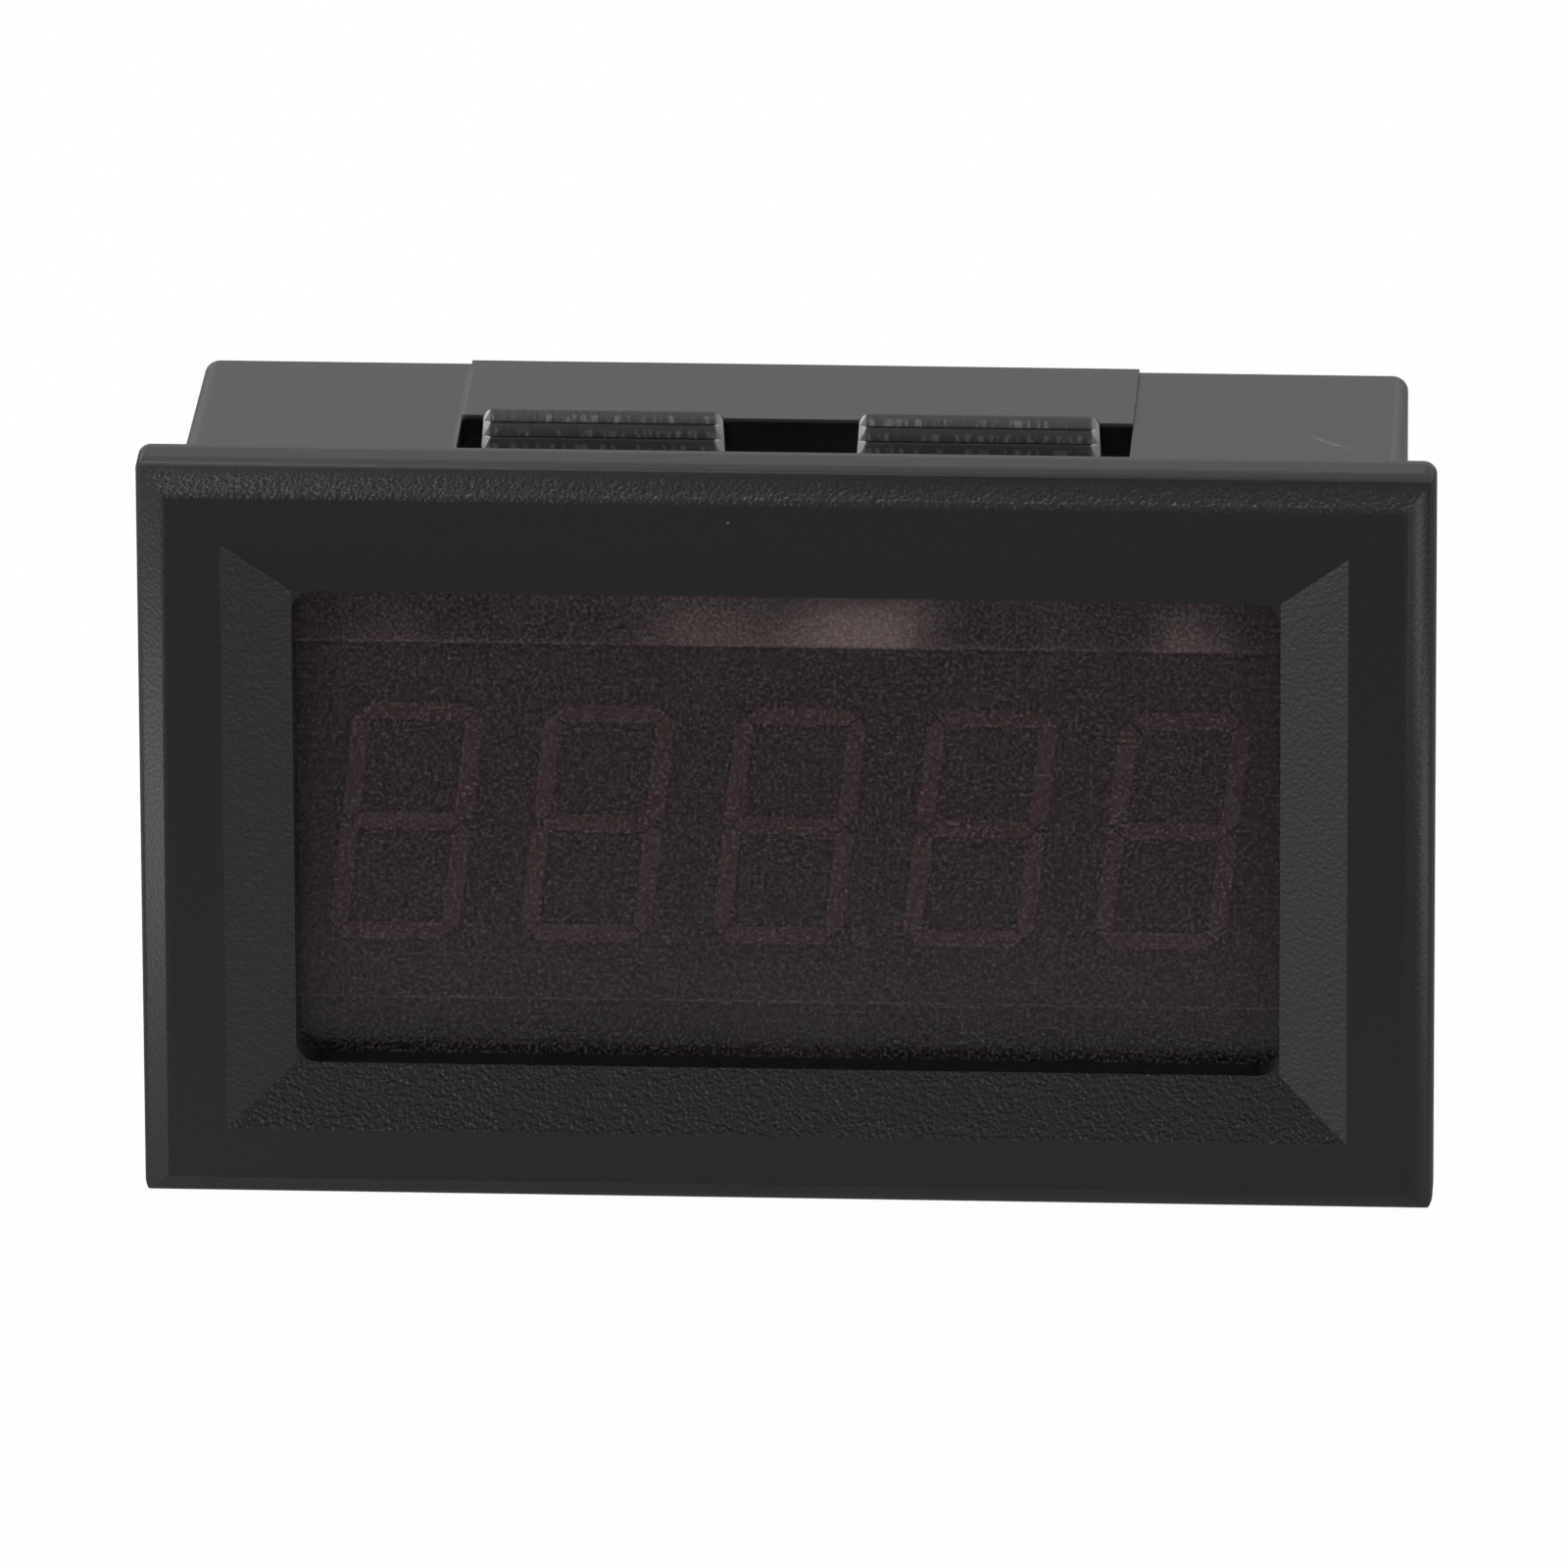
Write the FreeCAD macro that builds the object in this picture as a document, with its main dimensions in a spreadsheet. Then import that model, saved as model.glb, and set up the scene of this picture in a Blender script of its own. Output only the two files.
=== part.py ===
import FreeCAD, Part

import math
import os

import Sketcher
from FreeCAD import Placement, Rotation, Vector

# Snap-in digital panel meter with five LED digits.
# X runs to the right, Y from the front to the rear, Z up. Millimetres.
# The origin is the centre of the flange's rear face, which lies on the panel.

doc = FreeCAD.newDocument("panel_meter")
sheet = doc.addObject("Spreadsheet::Sheet", "sizes")
parts = []

SIZES = {
    # Bezel: the frame that stands in front of the panel.
    "bezel_width": 48.0,
    "bezel_height": 29.0,
    "bezel_depth": 2.7,
    "bezel_corner_radius": 0.5,
    "bezel_chamfer": 1.05,
    "bezel_edge_rounding": 0.9,
    "rim_edge_rounding": 0.35,
    "rim_side_width": 2.13,
    "rim_top_width": 1.89,
    "slope_side_width": 2.53,
    "slope_top_width": 2.23,
    "slope_depth": 1.24,
    "window_corner_radius": 0.8,

    # Body: the tube that passes through the panel's cut-out.
    "flange_side_overhang": 1.28,
    "flange_top_overhang": 1.37,
    "body_depth": 13.6,
    "body_draft_angle": 0.65,
    "body_corner_radius": 0.6,
    "wall_thickness": 1.2,
    "front_wall_back": 0.5,

    # Raised field on the long walls, with the slot for the snap lugs in it.
    "field_width": 25.0,
    "field_rise": 0.13,
    "slot_start": 1.1,
    "slot_end": 7.2,
    "slot_edge_chamfer": 0.22,
    "cut_margin": 1.0,

    # Snap lug: a tongue with a stepped catch that grips the panel from behind.
    "lug_width": 9.3,
    "lug_middle": 6.99,
    "lug_shift": -0.16,
    "lug_ridge_rise": 0.63,
    "lug_ridge_behind_flange": 6.0,
    "lug_step_height": 0.47,
    "lug_step_depth": 0.31,
    "lug_step_count": 4,
    "lug_tongue_thickness": 0.85,
    "lug_rear_gap": 0.35,
    "lug_end_rounding": 0.3,
    "lug_end_draft": 0.22,
    "lug_end_chamfer": 0.26,

    # Ribs that carry the board and nubs that hold it from behind.
    "rib_size": 1.6,
    "rib_height_on_wall": 8.2,
    "nub_reach": 0.55,
    "nub_width": 4.0,
    "nub_depth": 1.3,
    "nub_tip_width": 0.3,
    "nub_end_inset": 4.8,
    "nub_clearance": 0.05,

    # Filter: the tinted plate behind the window.
    "filter_lap": 1.09,
    "filter_thickness": 1.0,
    "filter_corner_radius": 0.6,
    "filter_clearance": 0.08,
    "lip_thickness": 1.19,

    # Display module.
    "digit_count": 5,
    "module_overlap": 0.51,
    "module_long_margin": 2.75,
    "module_depth": 7.1,
    "module_centre_height": -0.4,
    "module_clearance": 0.05,
    "module_edge_chamfer": 0.25,
    "module_well_depth": 5.6,
    "module_wall": 0.9,
    "window_side_margin": 0.49,
    "digit_gap": 2.93,
    "segment_rise": 4.35,
    "segment_stroke": 0.66,
    "segment_gap": 0.1,
    "segment_slant_angle": 6.5,
    "segment_depth": 0.5,
    "point_radius": 0.42,
    "point_gap": 0.3,
    "pin_width": 0.5,
    "pin_pitch": 2.54,
    "pin_row_inset": 2.02,
    "pin_beyond_board": 1.3,
    "pin_columns": 7,

    # Circuit board.
    "board_clearance": 0.2,
    "board_thickness": 1.6,
    "solder_radius": 0.95,
    "solder_height": 0.9,
    "solder_foot_height": 0.3,
    "solder_foot_swell": 0.14,
    "solder_skin": 0.03,
    "solder_sides": 16,

    # Chips with gull-wing legs.
    "controller_length": 6.5,
    "controller_width": 4.4,
    "controller_height": 1.0,
    "controller_x": -3.7,
    "controller_pitch": 0.65,
    "controller_leg_width": 0.24,
    "controller_legs_per_side": 10,
    "converter_length": 4.9,
    "converter_width": 3.9,
    "converter_height": 1.5,
    "converter_x": 4.6,
    "converter_pitch": 1.27,
    "converter_leg_width": 0.42,
    "converter_legs_per_side": 4,
    "leg_reach": 1.05,
    "leg_foot": 0.55,
    "leg_thickness": 0.16,
    "chip_stand_off": 0.12,

    # Supply side of the board.
    "regulator_length": 4.5,
    "regulator_width": 2.5,
    "regulator_height": 1.5,
    "regulator_end_inset": 6.2,
    "regulator_long_inset": 3.3,
    "regulator_tab_width": 1.7,
    "regulator_leg_width": 0.45,
    "regulator_leg_pitch": 1.5,
    "regulator_leg_reach": 0.9,
    "regulator_leg_tuck": 0.18,
    "regulator_tab_inset": 0.22,
    "regulator_tab_reach": 0.68,
    "diode_length": 4.3,
    "diode_width": 2.6,
    "diode_height": 2.1,
    "diode_end_inset": 5.4,
    "diode_above_middle": 1.2,
    "diode_tab_width": 1.45,
    "diode_tab_reach": 0.45,
    "can_base_width": 5.3,
    "can_base_height": 0.9,
    "can_base_corner": 1.1,
    "can_radius": 2.5,
    "can_height": 4.5,
    "can_edge_rounding": 0.35,
    "can_groove_depth": 0.22,
    "can_groove_height": 0.9,
    "can_end_inset": 4.2,
    "can_long_inset": 3.7,

    # Chip resistors and capacitors.
    "resistor_length": 1.6,
    "resistor_width": 0.8,
    "resistor_height": 0.45,
    "capacitor_length": 2.0,
    "capacitor_width": 1.25,
    "capacitor_height": 0.9,
    "end_cap_length": 0.3,
    "end_cap_thickness": 0.02,
    "lying_pitch": 2.5,
    "upright_pitch": 1.8,
    "row_inset": 2.0,
    "top_row_lying_start": -8.9,
    "top_row_upright_start": 1.6,
    "bottom_row_lying_start": -3.4,
    "bottom_row_upright_start": 7.2,
    "side_column_x": 8.7,
    "side_column_pitch": 2.6,
    "left_column_x": -9.6,
    "edge_capacitor_inset": 1.6,
    "edge_capacitor_pitch": 5.8,
    "corner_capacitor_x": 9.3,

    # Calibration trimmer.
    "trimmer_width": 4.5,
    "trimmer_height": 2.4,
    "trimmer_edge_chamfer": 0.25,
    "trimmer_end_inset": 4.6,
    "trimmer_long_inset": 4.2,
    "rotor_radius": 1.7,
    "rotor_height": 1.15,
    "rotor_fit": 0.06,
    "rotor_pivot_radius": 0.6,
    "rotor_pivot_depth": 0.6,
    "rotor_slot_width": 0.5,
    "rotor_slot_depth": 0.5,
    "rotor_slot_length": 2.5,
    "trimmer_leg_width": 1.0,
    "trimmer_leg_reach": 0.5,

    # Lead header: the inlet for the three supply and signal leads.
    "header_length": 9.9,
    "header_width": 5.75,
    "header_height": 7.0,
    "header_wall": 0.75,
    "header_floor": 1.6,
    "header_edge_chamfer": 0.2,
    "header_end_inset": 4.6,
    "header_below_middle": 3.0,
    "header_pitch": 2.5,
    "header_pin_width": 0.64,
    "header_pin_below_rim": 1.0,
    "header_pin_tail": 1.3,
    "header_notch_width": 1.2,
    "header_notch_depth": 4.2,
}

for row, (name, value) in enumerate(SIZES.items(), 1):
    sheet.set("A%d" % row, name)
    sheet.set("B%d" % row, str(value))
    sheet.setAlias("B%d" % row, name)
doc.recompute()


def mm(name):
    """Give the value of a size on the sheet."""
    return float(sheet.get(name))


ALONG_X = Rotation(Vector(0, 1, 0), Vector(0, 0, 1), Vector(1, 0, 0))
ALONG_Y = Rotation(Vector(1, 0, 0), Vector(0, 0, 1), Vector(0, -1, 0))
ALONG_Z = Rotation()


# Places that several pieces share, from the front to the rear.
body_width = mm("bezel_width") - 2 * mm("flange_side_overhang")
body_height = mm("bezel_height") - 2 * mm("flange_top_overhang")
window_half_width = (mm("bezel_width") / 2 - mm("bezel_chamfer")
                     - mm("rim_side_width") - mm("slope_side_width"))
window_half_height = (mm("bezel_height") / 2 - mm("bezel_chamfer")
                      - mm("rim_top_width") - mm("slope_top_width"))
filter_front = mm("slope_depth") - mm("bezel_depth") + mm("lip_thickness")
module_front = filter_front + mm("filter_thickness") + mm("module_clearance")
board_front = module_front + mm("module_depth")
board_back = board_front + mm("board_thickness")
draft_slope = math.tan(math.radians(mm("body_draft_angle")))
field_top = body_height / 2 + mm("field_rise")
module_half_height = mm("segment_rise") + mm("module_long_margin")
digit_pitch = 2 * (window_half_width - mm("window_side_margin")) / mm("digit_count")
segment_span = digit_pitch - mm("digit_gap")

BODY_WIDTH = "(sizes.bezel_width - 2 * sizes.flange_side_overhang)"
BODY_HEIGHT = "(sizes.bezel_height - 2 * sizes.flange_top_overhang)"
WINDOW_WIDTH = ("(sizes.bezel_width - 2 * (sizes.bezel_chamfer + sizes.rim_side_width"
                " + sizes.slope_side_width))")
WINDOW_HEIGHT = ("(sizes.bezel_height - 2 * (sizes.bezel_chamfer + sizes.rim_top_width"
                 " + sizes.slope_top_width))")
MODULE_WIDTH = WINDOW_WIDTH + " + 2 * sizes.module_overlap"
MODULE_HEIGHT = "(2 * sizes.segment_rise + 2 * sizes.module_long_margin)"


def inner_half_width(depth):
    """Half the clear width between the end walls at a depth behind the flange."""
    return body_width / 2 - mm("wall_thickness") - depth * draft_slope


def inner_half_height(depth):
    """Half the clear height between the long walls at a depth behind the flange."""
    return body_height / 2 - mm("wall_thickness") - depth * draft_slope


board_half_width = inner_half_width(board_back) - mm("board_clearance")
board_half_height = inner_half_height(board_back) - mm("board_clearance")
header_x = board_half_width - mm("header_end_inset")
header_z = -mm("header_below_middle")


def corner(points, radii, index):
    """Give the two tangent points and the middle of the arc that rounds a corner."""
    here = points[index]
    before = (points[index - 1] - here).normalize()
    after = (points[(index + 1) % len(points)] - here).normalize()
    radius = radii[index]
    if radius == 0:
        return here, None, here
    half = before.getAngle(after) / 2
    reach = radius / math.tan(half)
    middle_way = (before + after).normalize()
    middle = here + middle_way * (radius / math.sin(half) - radius)
    return here + before * reach, middle, here + after * reach


def outline(name, corners, turn, origin=Vector(0, 0, 0)):
    """Draw a closed sketch through corners given as (x, y) or (x, y, radius)."""
    points = [Vector(c[0], c[1], 0) for c in corners]
    radii = [c[2] if len(c) > 2 else 0 for c in corners]
    rounded = [corner(points, radii, i) for i in range(len(points))]
    sketch = doc.addObject("Sketcher::SketchObject", name)
    sketch.Placement = Placement(origin, turn)
    for i, (start, middle, end) in enumerate(rounded):
        if middle is not None:
            sketch.addGeometry(Part.Arc(start, middle, end))
        following = rounded[(i + 1) % len(rounded)][0]
        if end.distanceToPoint(following) > 1e-6:
            sketch.addGeometry(Part.LineSegment(end, following))
    return sketch


def prism(name, sketch, length):
    """Extrude a sketch to both sides by a length given as an expression."""
    solid = doc.addObject("Part::Extrusion", name)
    solid.Base = sketch
    solid.DirMode = "Normal"
    solid.Solid = True
    solid.Symmetric = True
    solid.setExpression("LengthFwd", length)
    return solid


def block(name, low, high):
    """Make a box between two corners."""
    box = doc.addObject("Part::Box", name)
    box.Length = high[0] - low[0]
    box.Width = high[1] - low[1]
    box.Height = high[2] - low[2]
    box.Placement = Placement(Vector(*low), Rotation())
    return box


def join(kind, name, pieces):
    """Fuse or intersect several solids."""
    result = doc.addObject("Part::" + kind, name)
    result.Shapes = pieces
    result.Refine = True
    return result


def cut(name, base, tool):
    """Take one solid away from another."""
    result = doc.addObject("Part::Cut", name)
    result.Base = base
    result.Tool = tool
    result.Refine = True
    return result


def mirrored(name, source, normal):
    """Mirror a solid across a plane through the origin."""
    copy = doc.addObject("Part::Mirroring", name)
    copy.Source = source
    copy.Normal = normal
    return copy


def group(name, shapes):
    """Make one sub-part of several separate solids."""
    piece = doc.addObject("Part::Feature", name)
    piece.Shape = Part.makeCompound(shapes)
    return piece


def finished(piece, label):
    """Name a sub-part that is written to its own file."""
    piece.Label = label
    parts.append(piece)
    return piece


def part_body(name):
    """Start a body for a piece made by pads and pockets."""
    return doc.addObject("PartDesign::Body", name)


def body_sketch(body, name, role, across, up, along):
    """Attach a sketch to one of the body's own planes, shifted by expressions."""
    sketch = body.newObject("Sketcher::SketchObject", name)
    plane = next(f for f in body.Origin.OriginFeatures if f.Role == role)
    sketch.AttachmentSupport = [(plane, "")]
    sketch.MapMode = "FlatFace"
    sketch.setExpression("AttachmentOffset.Base.x", str(across))
    sketch.setExpression("AttachmentOffset.Base.y", str(up))
    sketch.setExpression("AttachmentOffset.Base.z", str(-along))
    return sketch


def rectangle(sketch, width, height):
    """Draw a centred rectangle whose width and height follow expressions."""
    low = Vector(-2, -1, 0)
    high = Vector(2, 1, 0)
    corners = [low, Vector(2, -1, 0), high, Vector(-2, 1, 0)]
    for i in range(4):
        sketch.addGeometry(Part.LineSegment(corners[i], corners[(i + 1) % 4]))
    rules = [Sketcher.Constraint("Coincident", i, 2, (i + 1) % 4, 1) for i in range(4)]
    rules += [Sketcher.Constraint("Horizontal", 0), Sketcher.Constraint("Horizontal", 2)]
    rules += [Sketcher.Constraint("Vertical", 1), Sketcher.Constraint("Vertical", 3)]
    rules += [Sketcher.Constraint("Symmetric", 0, 1, 1, 2, -1, 1)]
    sketch.addConstraint(rules)
    wide = sketch.addConstraint(Sketcher.Constraint("DistanceX", 0, 1, 0, 2, 4))
    tall = sketch.addConstraint(Sketcher.Constraint("DistanceY", 1, 1, 1, 2, 2))
    sketch.renameConstraint(wide, "width")
    sketch.renameConstraint(tall, "height")
    sketch.setExpression("Constraints.width", width)
    sketch.setExpression("Constraints.height", height)
    return sketch


def circle(sketch, radius):
    """Draw a circle at the sketch's origin whose radius follows an expression."""
    ring = sketch.addGeometry(Part.Circle(Vector(0, 0, 0), Vector(0, 0, 1), 1))
    sketch.addConstraint(Sketcher.Constraint("Coincident", ring, 3, -1, 1))
    rule = sketch.addConstraint(Sketcher.Constraint("Radius", ring, 1))
    sketch.renameConstraint(rule, "radius")
    sketch.setExpression("Constraints.radius", radius)
    return sketch


def extrude(body, kind, sketch, length, forward=False):
    """Pad or pocket a sketch, towards the rear unless it goes forward."""
    feature = body.newObject("PartDesign::" + kind, sketch.Name + "_" + kind.lower())
    feature.Profile = sketch
    feature.setExpression("Length", length)
    feature.Reversed = (kind == "Pad") != forward
    return feature


def soften(body, kind, feature, chosen, amount):
    """Round or chamfer the edges of a feature that a test chooses."""
    doc.recompute()
    names = ["Edge%d" % (i + 1) for i, e in enumerate(feature.Shape.Edges) if chosen(e)]
    dressed = body.newObject("PartDesign::" + kind, feature.Name + "_" + kind.lower())
    dressed.Base = (feature, names)
    dressed.setExpression("Radius" if kind == "Fillet" else "Size", amount)
    return dressed


def runs_back(edge):
    """True for an edge parallel to Y."""
    along = edge.lastVertex().Point - edge.firstVertex().Point
    return along.Length > 0 and abs(along.y) > 0.999 * along.Length


def lies_at(depth):
    """Test for edges that lie in the plane at one depth."""
    return lambda edge: all(abs(v.Point.y - depth) < 1e-4 for v in edge.Vertexes)


# The bezel is the overlap of three prisms, so that its chamfers meet in mitres.
def bezel():
    half_width = mm("bezel_width") / 2
    half_height = mm("bezel_height") / 2
    front = -mm("bezel_depth")
    shoulder = front + mm("bezel_chamfer")
    rounding = mm("bezel_corner_radius")
    soft = mm("bezel_edge_rounding")
    rim_soft = mm("rim_edge_rounding")
    chamfer = mm("bezel_chamfer")

    def half_section(half):
        right = [(half, 0), (half, shoulder, soft), (half - chamfer, front, rim_soft)]
        left = [(-x, *rest) for x, *rest in reversed(right)]
        return right + left

    front_view = outline("bezel_outline", [
        (-half_width, -half_height, rounding),
        (half_width, -half_height, rounding),
        (half_width, half_height, rounding),
        (-half_width, half_height, rounding)], ALONG_Y)
    side_view = outline("bezel_side_section", [
        (y, z, *rest) for z, y, *rest in half_section(half_height)], ALONG_X)
    plan_view = outline("bezel_plan_section", half_section(half_width), ALONG_Z)
    return join("MultiCommon", "bezel_block", [
        prism("bezel_front_prism", front_view, "3 * sizes.bezel_depth"),
        prism("bezel_side_prism", side_view, "sizes.bezel_width + 2"),
        prism("bezel_plan_prism", plan_view, "sizes.bezel_height + 2")])


# The sunken frame round the window: four slopes that meet in mitres.
def sunken_frame():
    front = -mm("bezel_depth")
    floor = front + mm("slope_depth")
    past = front - 1

    def trapezoid(half, slope):
        outer = half + slope
        beyond = outer + slope / mm("slope_depth")
        right = [(half, floor), (outer, front), (beyond, past)]
        return right + [(-x, y) for x, y in reversed(right)]

    side_view = outline("slope_side_section", [
        (y, z) for z, y in trapezoid(window_half_height, mm("slope_top_width"))], ALONG_X)
    plan_view = outline("slope_plan_section",
                        trapezoid(window_half_width, mm("slope_side_width")), ALONG_Z)
    return join("MultiCommon", "sunken_frame", [
        prism("slope_side_prism", side_view, "sizes.bezel_width"),
        prism("slope_plan_prism", plan_view, "sizes.bezel_height")])


# The window opening through the lip.
def window():
    radius = mm("window_corner_radius")
    view = outline("window_outline", [
        (-window_half_width, -window_half_height, radius),
        (window_half_width, -window_half_height, radius),
        (window_half_width, window_half_height, radius),
        (-window_half_width, window_half_height, radius)], ALONG_Y)
    return prism("window_cutter", view, "3 * sizes.bezel_depth")


# The tube behind the flange, with the raised fields on its long walls.
def outer_tube():
    body = part_body("outer_tube")
    section = body_sketch(body, "tube_section", "XZ_Plane", 0, 0, -mm("bezel_chamfer"))
    rectangle(section, BODY_WIDTH, BODY_HEIGHT)
    tube = extrude(body, "Pad", section, "sizes.body_depth + sizes.bezel_chamfer")
    tube.setExpression("TaperAngle", "-sizes.body_draft_angle")
    tube = soften(body, "Fillet", tube, lambda edge: not lies_at(
        -mm("bezel_chamfer"))(edge) and not lies_at(mm("body_depth"))(edge),
        "sizes.body_corner_radius")
    body.Tip = tube
    field = block("raised_fields",
                  (-mm("field_width") / 2, 0, -field_top),
                  (mm("field_width") / 2, mm("body_depth"), field_top))
    field_draft = outline("field_section", [
        (0, field_top), (0, -field_top),
        (mm("body_depth"), -field_top + mm("body_depth") * draft_slope),
        (mm("body_depth"), field_top - mm("body_depth") * draft_slope)], ALONG_X)
    slanted = prism("field_prism", field_draft, "sizes.field_width")
    drafted = join("MultiCommon", "drafted_fields", [field, slanted])
    return join("MultiFuse", "outer_tube_with_fields", [body, drafted])


# The open hollow behind the front wall.
def hollow():
    start = mm("front_wall_back")
    end = mm("body_depth") + mm("cut_margin")
    deep_width = inner_half_width(end)
    deep_height = inner_half_height(end)
    plan_view = outline("hollow_plan", [
        (inner_half_width(start), start), (deep_width, end),
        (-deep_width, end), (-inner_half_width(start), start)], ALONG_Z)
    side_view = outline("hollow_side", [
        (start, inner_half_height(start)), (end, deep_height),
        (end, -deep_height), (start, -inner_half_height(start))], ALONG_X)
    return join("MultiCommon", "hollow", [
        prism("hollow_plan_prism", plan_view, BODY_HEIGHT),
        prism("hollow_side_prism", side_view, BODY_WIDTH)])


# The slots in both long walls, with a small chamfer at the rear edge.
def slots():
    top = field_top + mm("cut_margin")
    edge = mm("slot_edge_chamfer")
    outer_end = mm("slot_end") + edge + mm("cut_margin")
    view = outline("slot_section", [
        (mm("slot_start"), -top), (outer_end, -top),
        (mm("slot_end"), edge - field_top), (mm("slot_end"), field_top - edge),
        (outer_end, top), (mm("slot_start"), top)], ALONG_X)
    return prism("slot_cutter", view, "sizes.field_width")


# The pocket in the rear of the front wall where the filter sits.
def filter_pocket():
    half_width = window_half_width + mm("filter_lap") + mm("filter_clearance")
    half_height = window_half_height + mm("filter_lap") + mm("filter_clearance")
    return block("filter_pocket",
                 (-half_width, filter_front, -half_height),
                 (half_width, mm("front_wall_back") + mm("cut_margin"), half_height))


# A snap lug: a tongue that reaches back from the front wall through the slot,
# with steps in front of its ridge and a ramp behind it. Both ends of the steps
# are chamfered along their slope.
def snap_lug(label, middle):
    ridge = field_top + mm("lug_ridge_rise")
    back = mm("lug_ridge_behind_flange")
    count = int(mm("lug_step_count"))
    steps = [(back, ridge)]
    for i in range(count):
        y, z = steps[-1]
        steps.append((y, z - mm("lug_step_height")))
        steps.append((y - mm("lug_step_depth"), z - mm("lug_step_height")))
    nose, tongue_top = steps.pop()
    tongue_bottom = tongue_top - mm("lug_tongue_thickness")
    free_end = mm("slot_end") - mm("lug_rear_gap")
    ramp_foot = field_top - mm("lug_ridge_rise") / 2
    section = steps + [(0, tongue_top), (0, tongue_bottom), (nose, tongue_bottom),
                       (free_end, ramp_foot - mm("lug_tongue_thickness")),
                       (free_end, ramp_foot)]
    half = mm("lug_width") / 2
    draft = mm("lug_end_draft")
    low = tongue_bottom - mm("cut_margin")
    soft = mm("lug_end_rounding")
    front_view = outline(label + "_front_view", [
        (middle - half, low), (middle + half, low),
        (middle + half - draft, ridge, soft), (middle - half + draft, ridge, soft)], ALONG_Y)
    side_view = outline(label + "_section", section, ALONG_X, Vector(middle, 0, 0))
    body = join("MultiCommon", label + "_body", [
        prism(label + "_steps", side_view, "2 * sizes.lug_width"),
        prism(label + "_ends", front_view, "4 * sizes.body_depth")])

    down = Vector(0, nose - back, tongue_top - ridge)
    outward = Vector(0, down.z, -down.y)
    along_slope = Rotation(Vector(1, 0, 0), outward, down)
    start = Vector(middle, back, ridge)
    centre = start + down * ((count - 0.5) / (2 * count))
    chamfer = mm("lug_end_chamfer")
    clear = mm("cut_margin")
    edge = half - draft
    corners = []
    for side in (-1, 1):
        wedge = outline(label + ("_right_wedge" if side > 0 else "_left_wedge"), [
            (side * (edge - chamfer - clear), clear), (side * (edge + clear), clear),
            (side * (edge + clear), -chamfer - clear)], along_slope, centre)
        corners.append(prism(wedge.Name + "_solid", wedge,
                             "(sizes.lug_step_count + 0.5)"
                             " * hypot(sizes.lug_step_height; sizes.lug_step_depth)"))
    return cut(label, body, join("MultiFuse", label + "_chamfers", corners))


# Four ribs on the end walls, which the board rests on.
def board_ribs():
    ribs = []
    start = mm("front_wall_back") / 2
    reach = inner_half_width(0) - mm("rib_size")
    half = mm("rib_size") / 2
    for side in (-1, 1):
        for level in (-1, 1):
            inner = side * reach
            outer = side * (inner_half_width(0) + mm("wall_thickness") / 2)
            middle = level * mm("rib_height_on_wall")
            ribs.append(block("board_rib",
                              (min(inner, outer), start, middle - half),
                              (max(inner, outer), board_front, middle + half)))
    return ribs


# Six wedge nubs behind the board: flat towards the board, sloped to the rear.
def board_nubs():
    catch = board_back + mm("nub_clearance")
    end = catch + mm("nub_depth")
    half = mm("nub_width") / 2
    buried = mm("wall_thickness") / 2
    nubs = []
    side_wall = inner_half_width(catch)
    long_wall = inner_half_height(catch)
    reach = mm("nub_reach")
    for side in (-1, 1):
        section = [(side * (side_wall + buried), catch), (side * (side_wall - reach), catch),
                   (side * (side_wall - reach), catch + mm("nub_tip_width")),
                   (side * (side_wall + buried), end)]
        nubs.append(prism("end_wall_nub", outline("nub_plan", section, ALONG_Z),
                          "sizes.nub_width"))
        for across in (-1, 1):
            section = [(catch, side * (long_wall + buried)), (catch, side * (long_wall - reach)),
                       (catch + mm("nub_tip_width"), side * (long_wall - reach)),
                       (end, side * (long_wall + buried))]
            place = Vector(across * (side_wall - mm("nub_end_inset")), 0, 0)
            nubs.append(prism("long_wall_nub", outline("nub_side", section, ALONG_X, place),
                              "sizes.nub_width"))
    return nubs


# The case is one moulding: bezel, tube, fields, lugs, ribs and nubs.
def case():
    outer = join("MultiFuse", "case_outer", [bezel(), outer_tube()])
    inner = join("MultiFuse", "case_inner", [
        sunken_frame(), window(), filter_pocket(), hollow(), slots()])
    shell = cut("case_shell", outer, inner)
    right = snap_lug("top_right_lug", mm("lug_shift") + mm("lug_middle"))
    left = snap_lug("top_left_lug", mm("lug_shift") - mm("lug_middle"))
    low_right = mirrored("bottom_right_lug", right, Vector(0, 0, 1))
    low_left = mirrored("bottom_left_lug", left, Vector(0, 0, 1))
    moulding = join("MultiFuse", "case", [shell, right, left, low_right, low_left]
                    + board_ribs() + board_nubs())
    finished(moulding, "case")


# The filter is a cut plate of tinted, frosted plastic.
def filter_plate():
    body = part_body("filter_plate")
    section = body_sketch(body, "filter_section", "XZ_Plane", 0, 0, filter_front)
    rectangle(section, WINDOW_WIDTH + " + 2 * sizes.filter_lap",
              WINDOW_HEIGHT + " + 2 * sizes.filter_lap")
    plate = extrude(body, "Pad", section, "sizes.filter_thickness")
    body.Tip = soften(body, "Fillet", plate, runs_back, "sizes.filter_corner_radius")
    finished(body, "filter")


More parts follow.
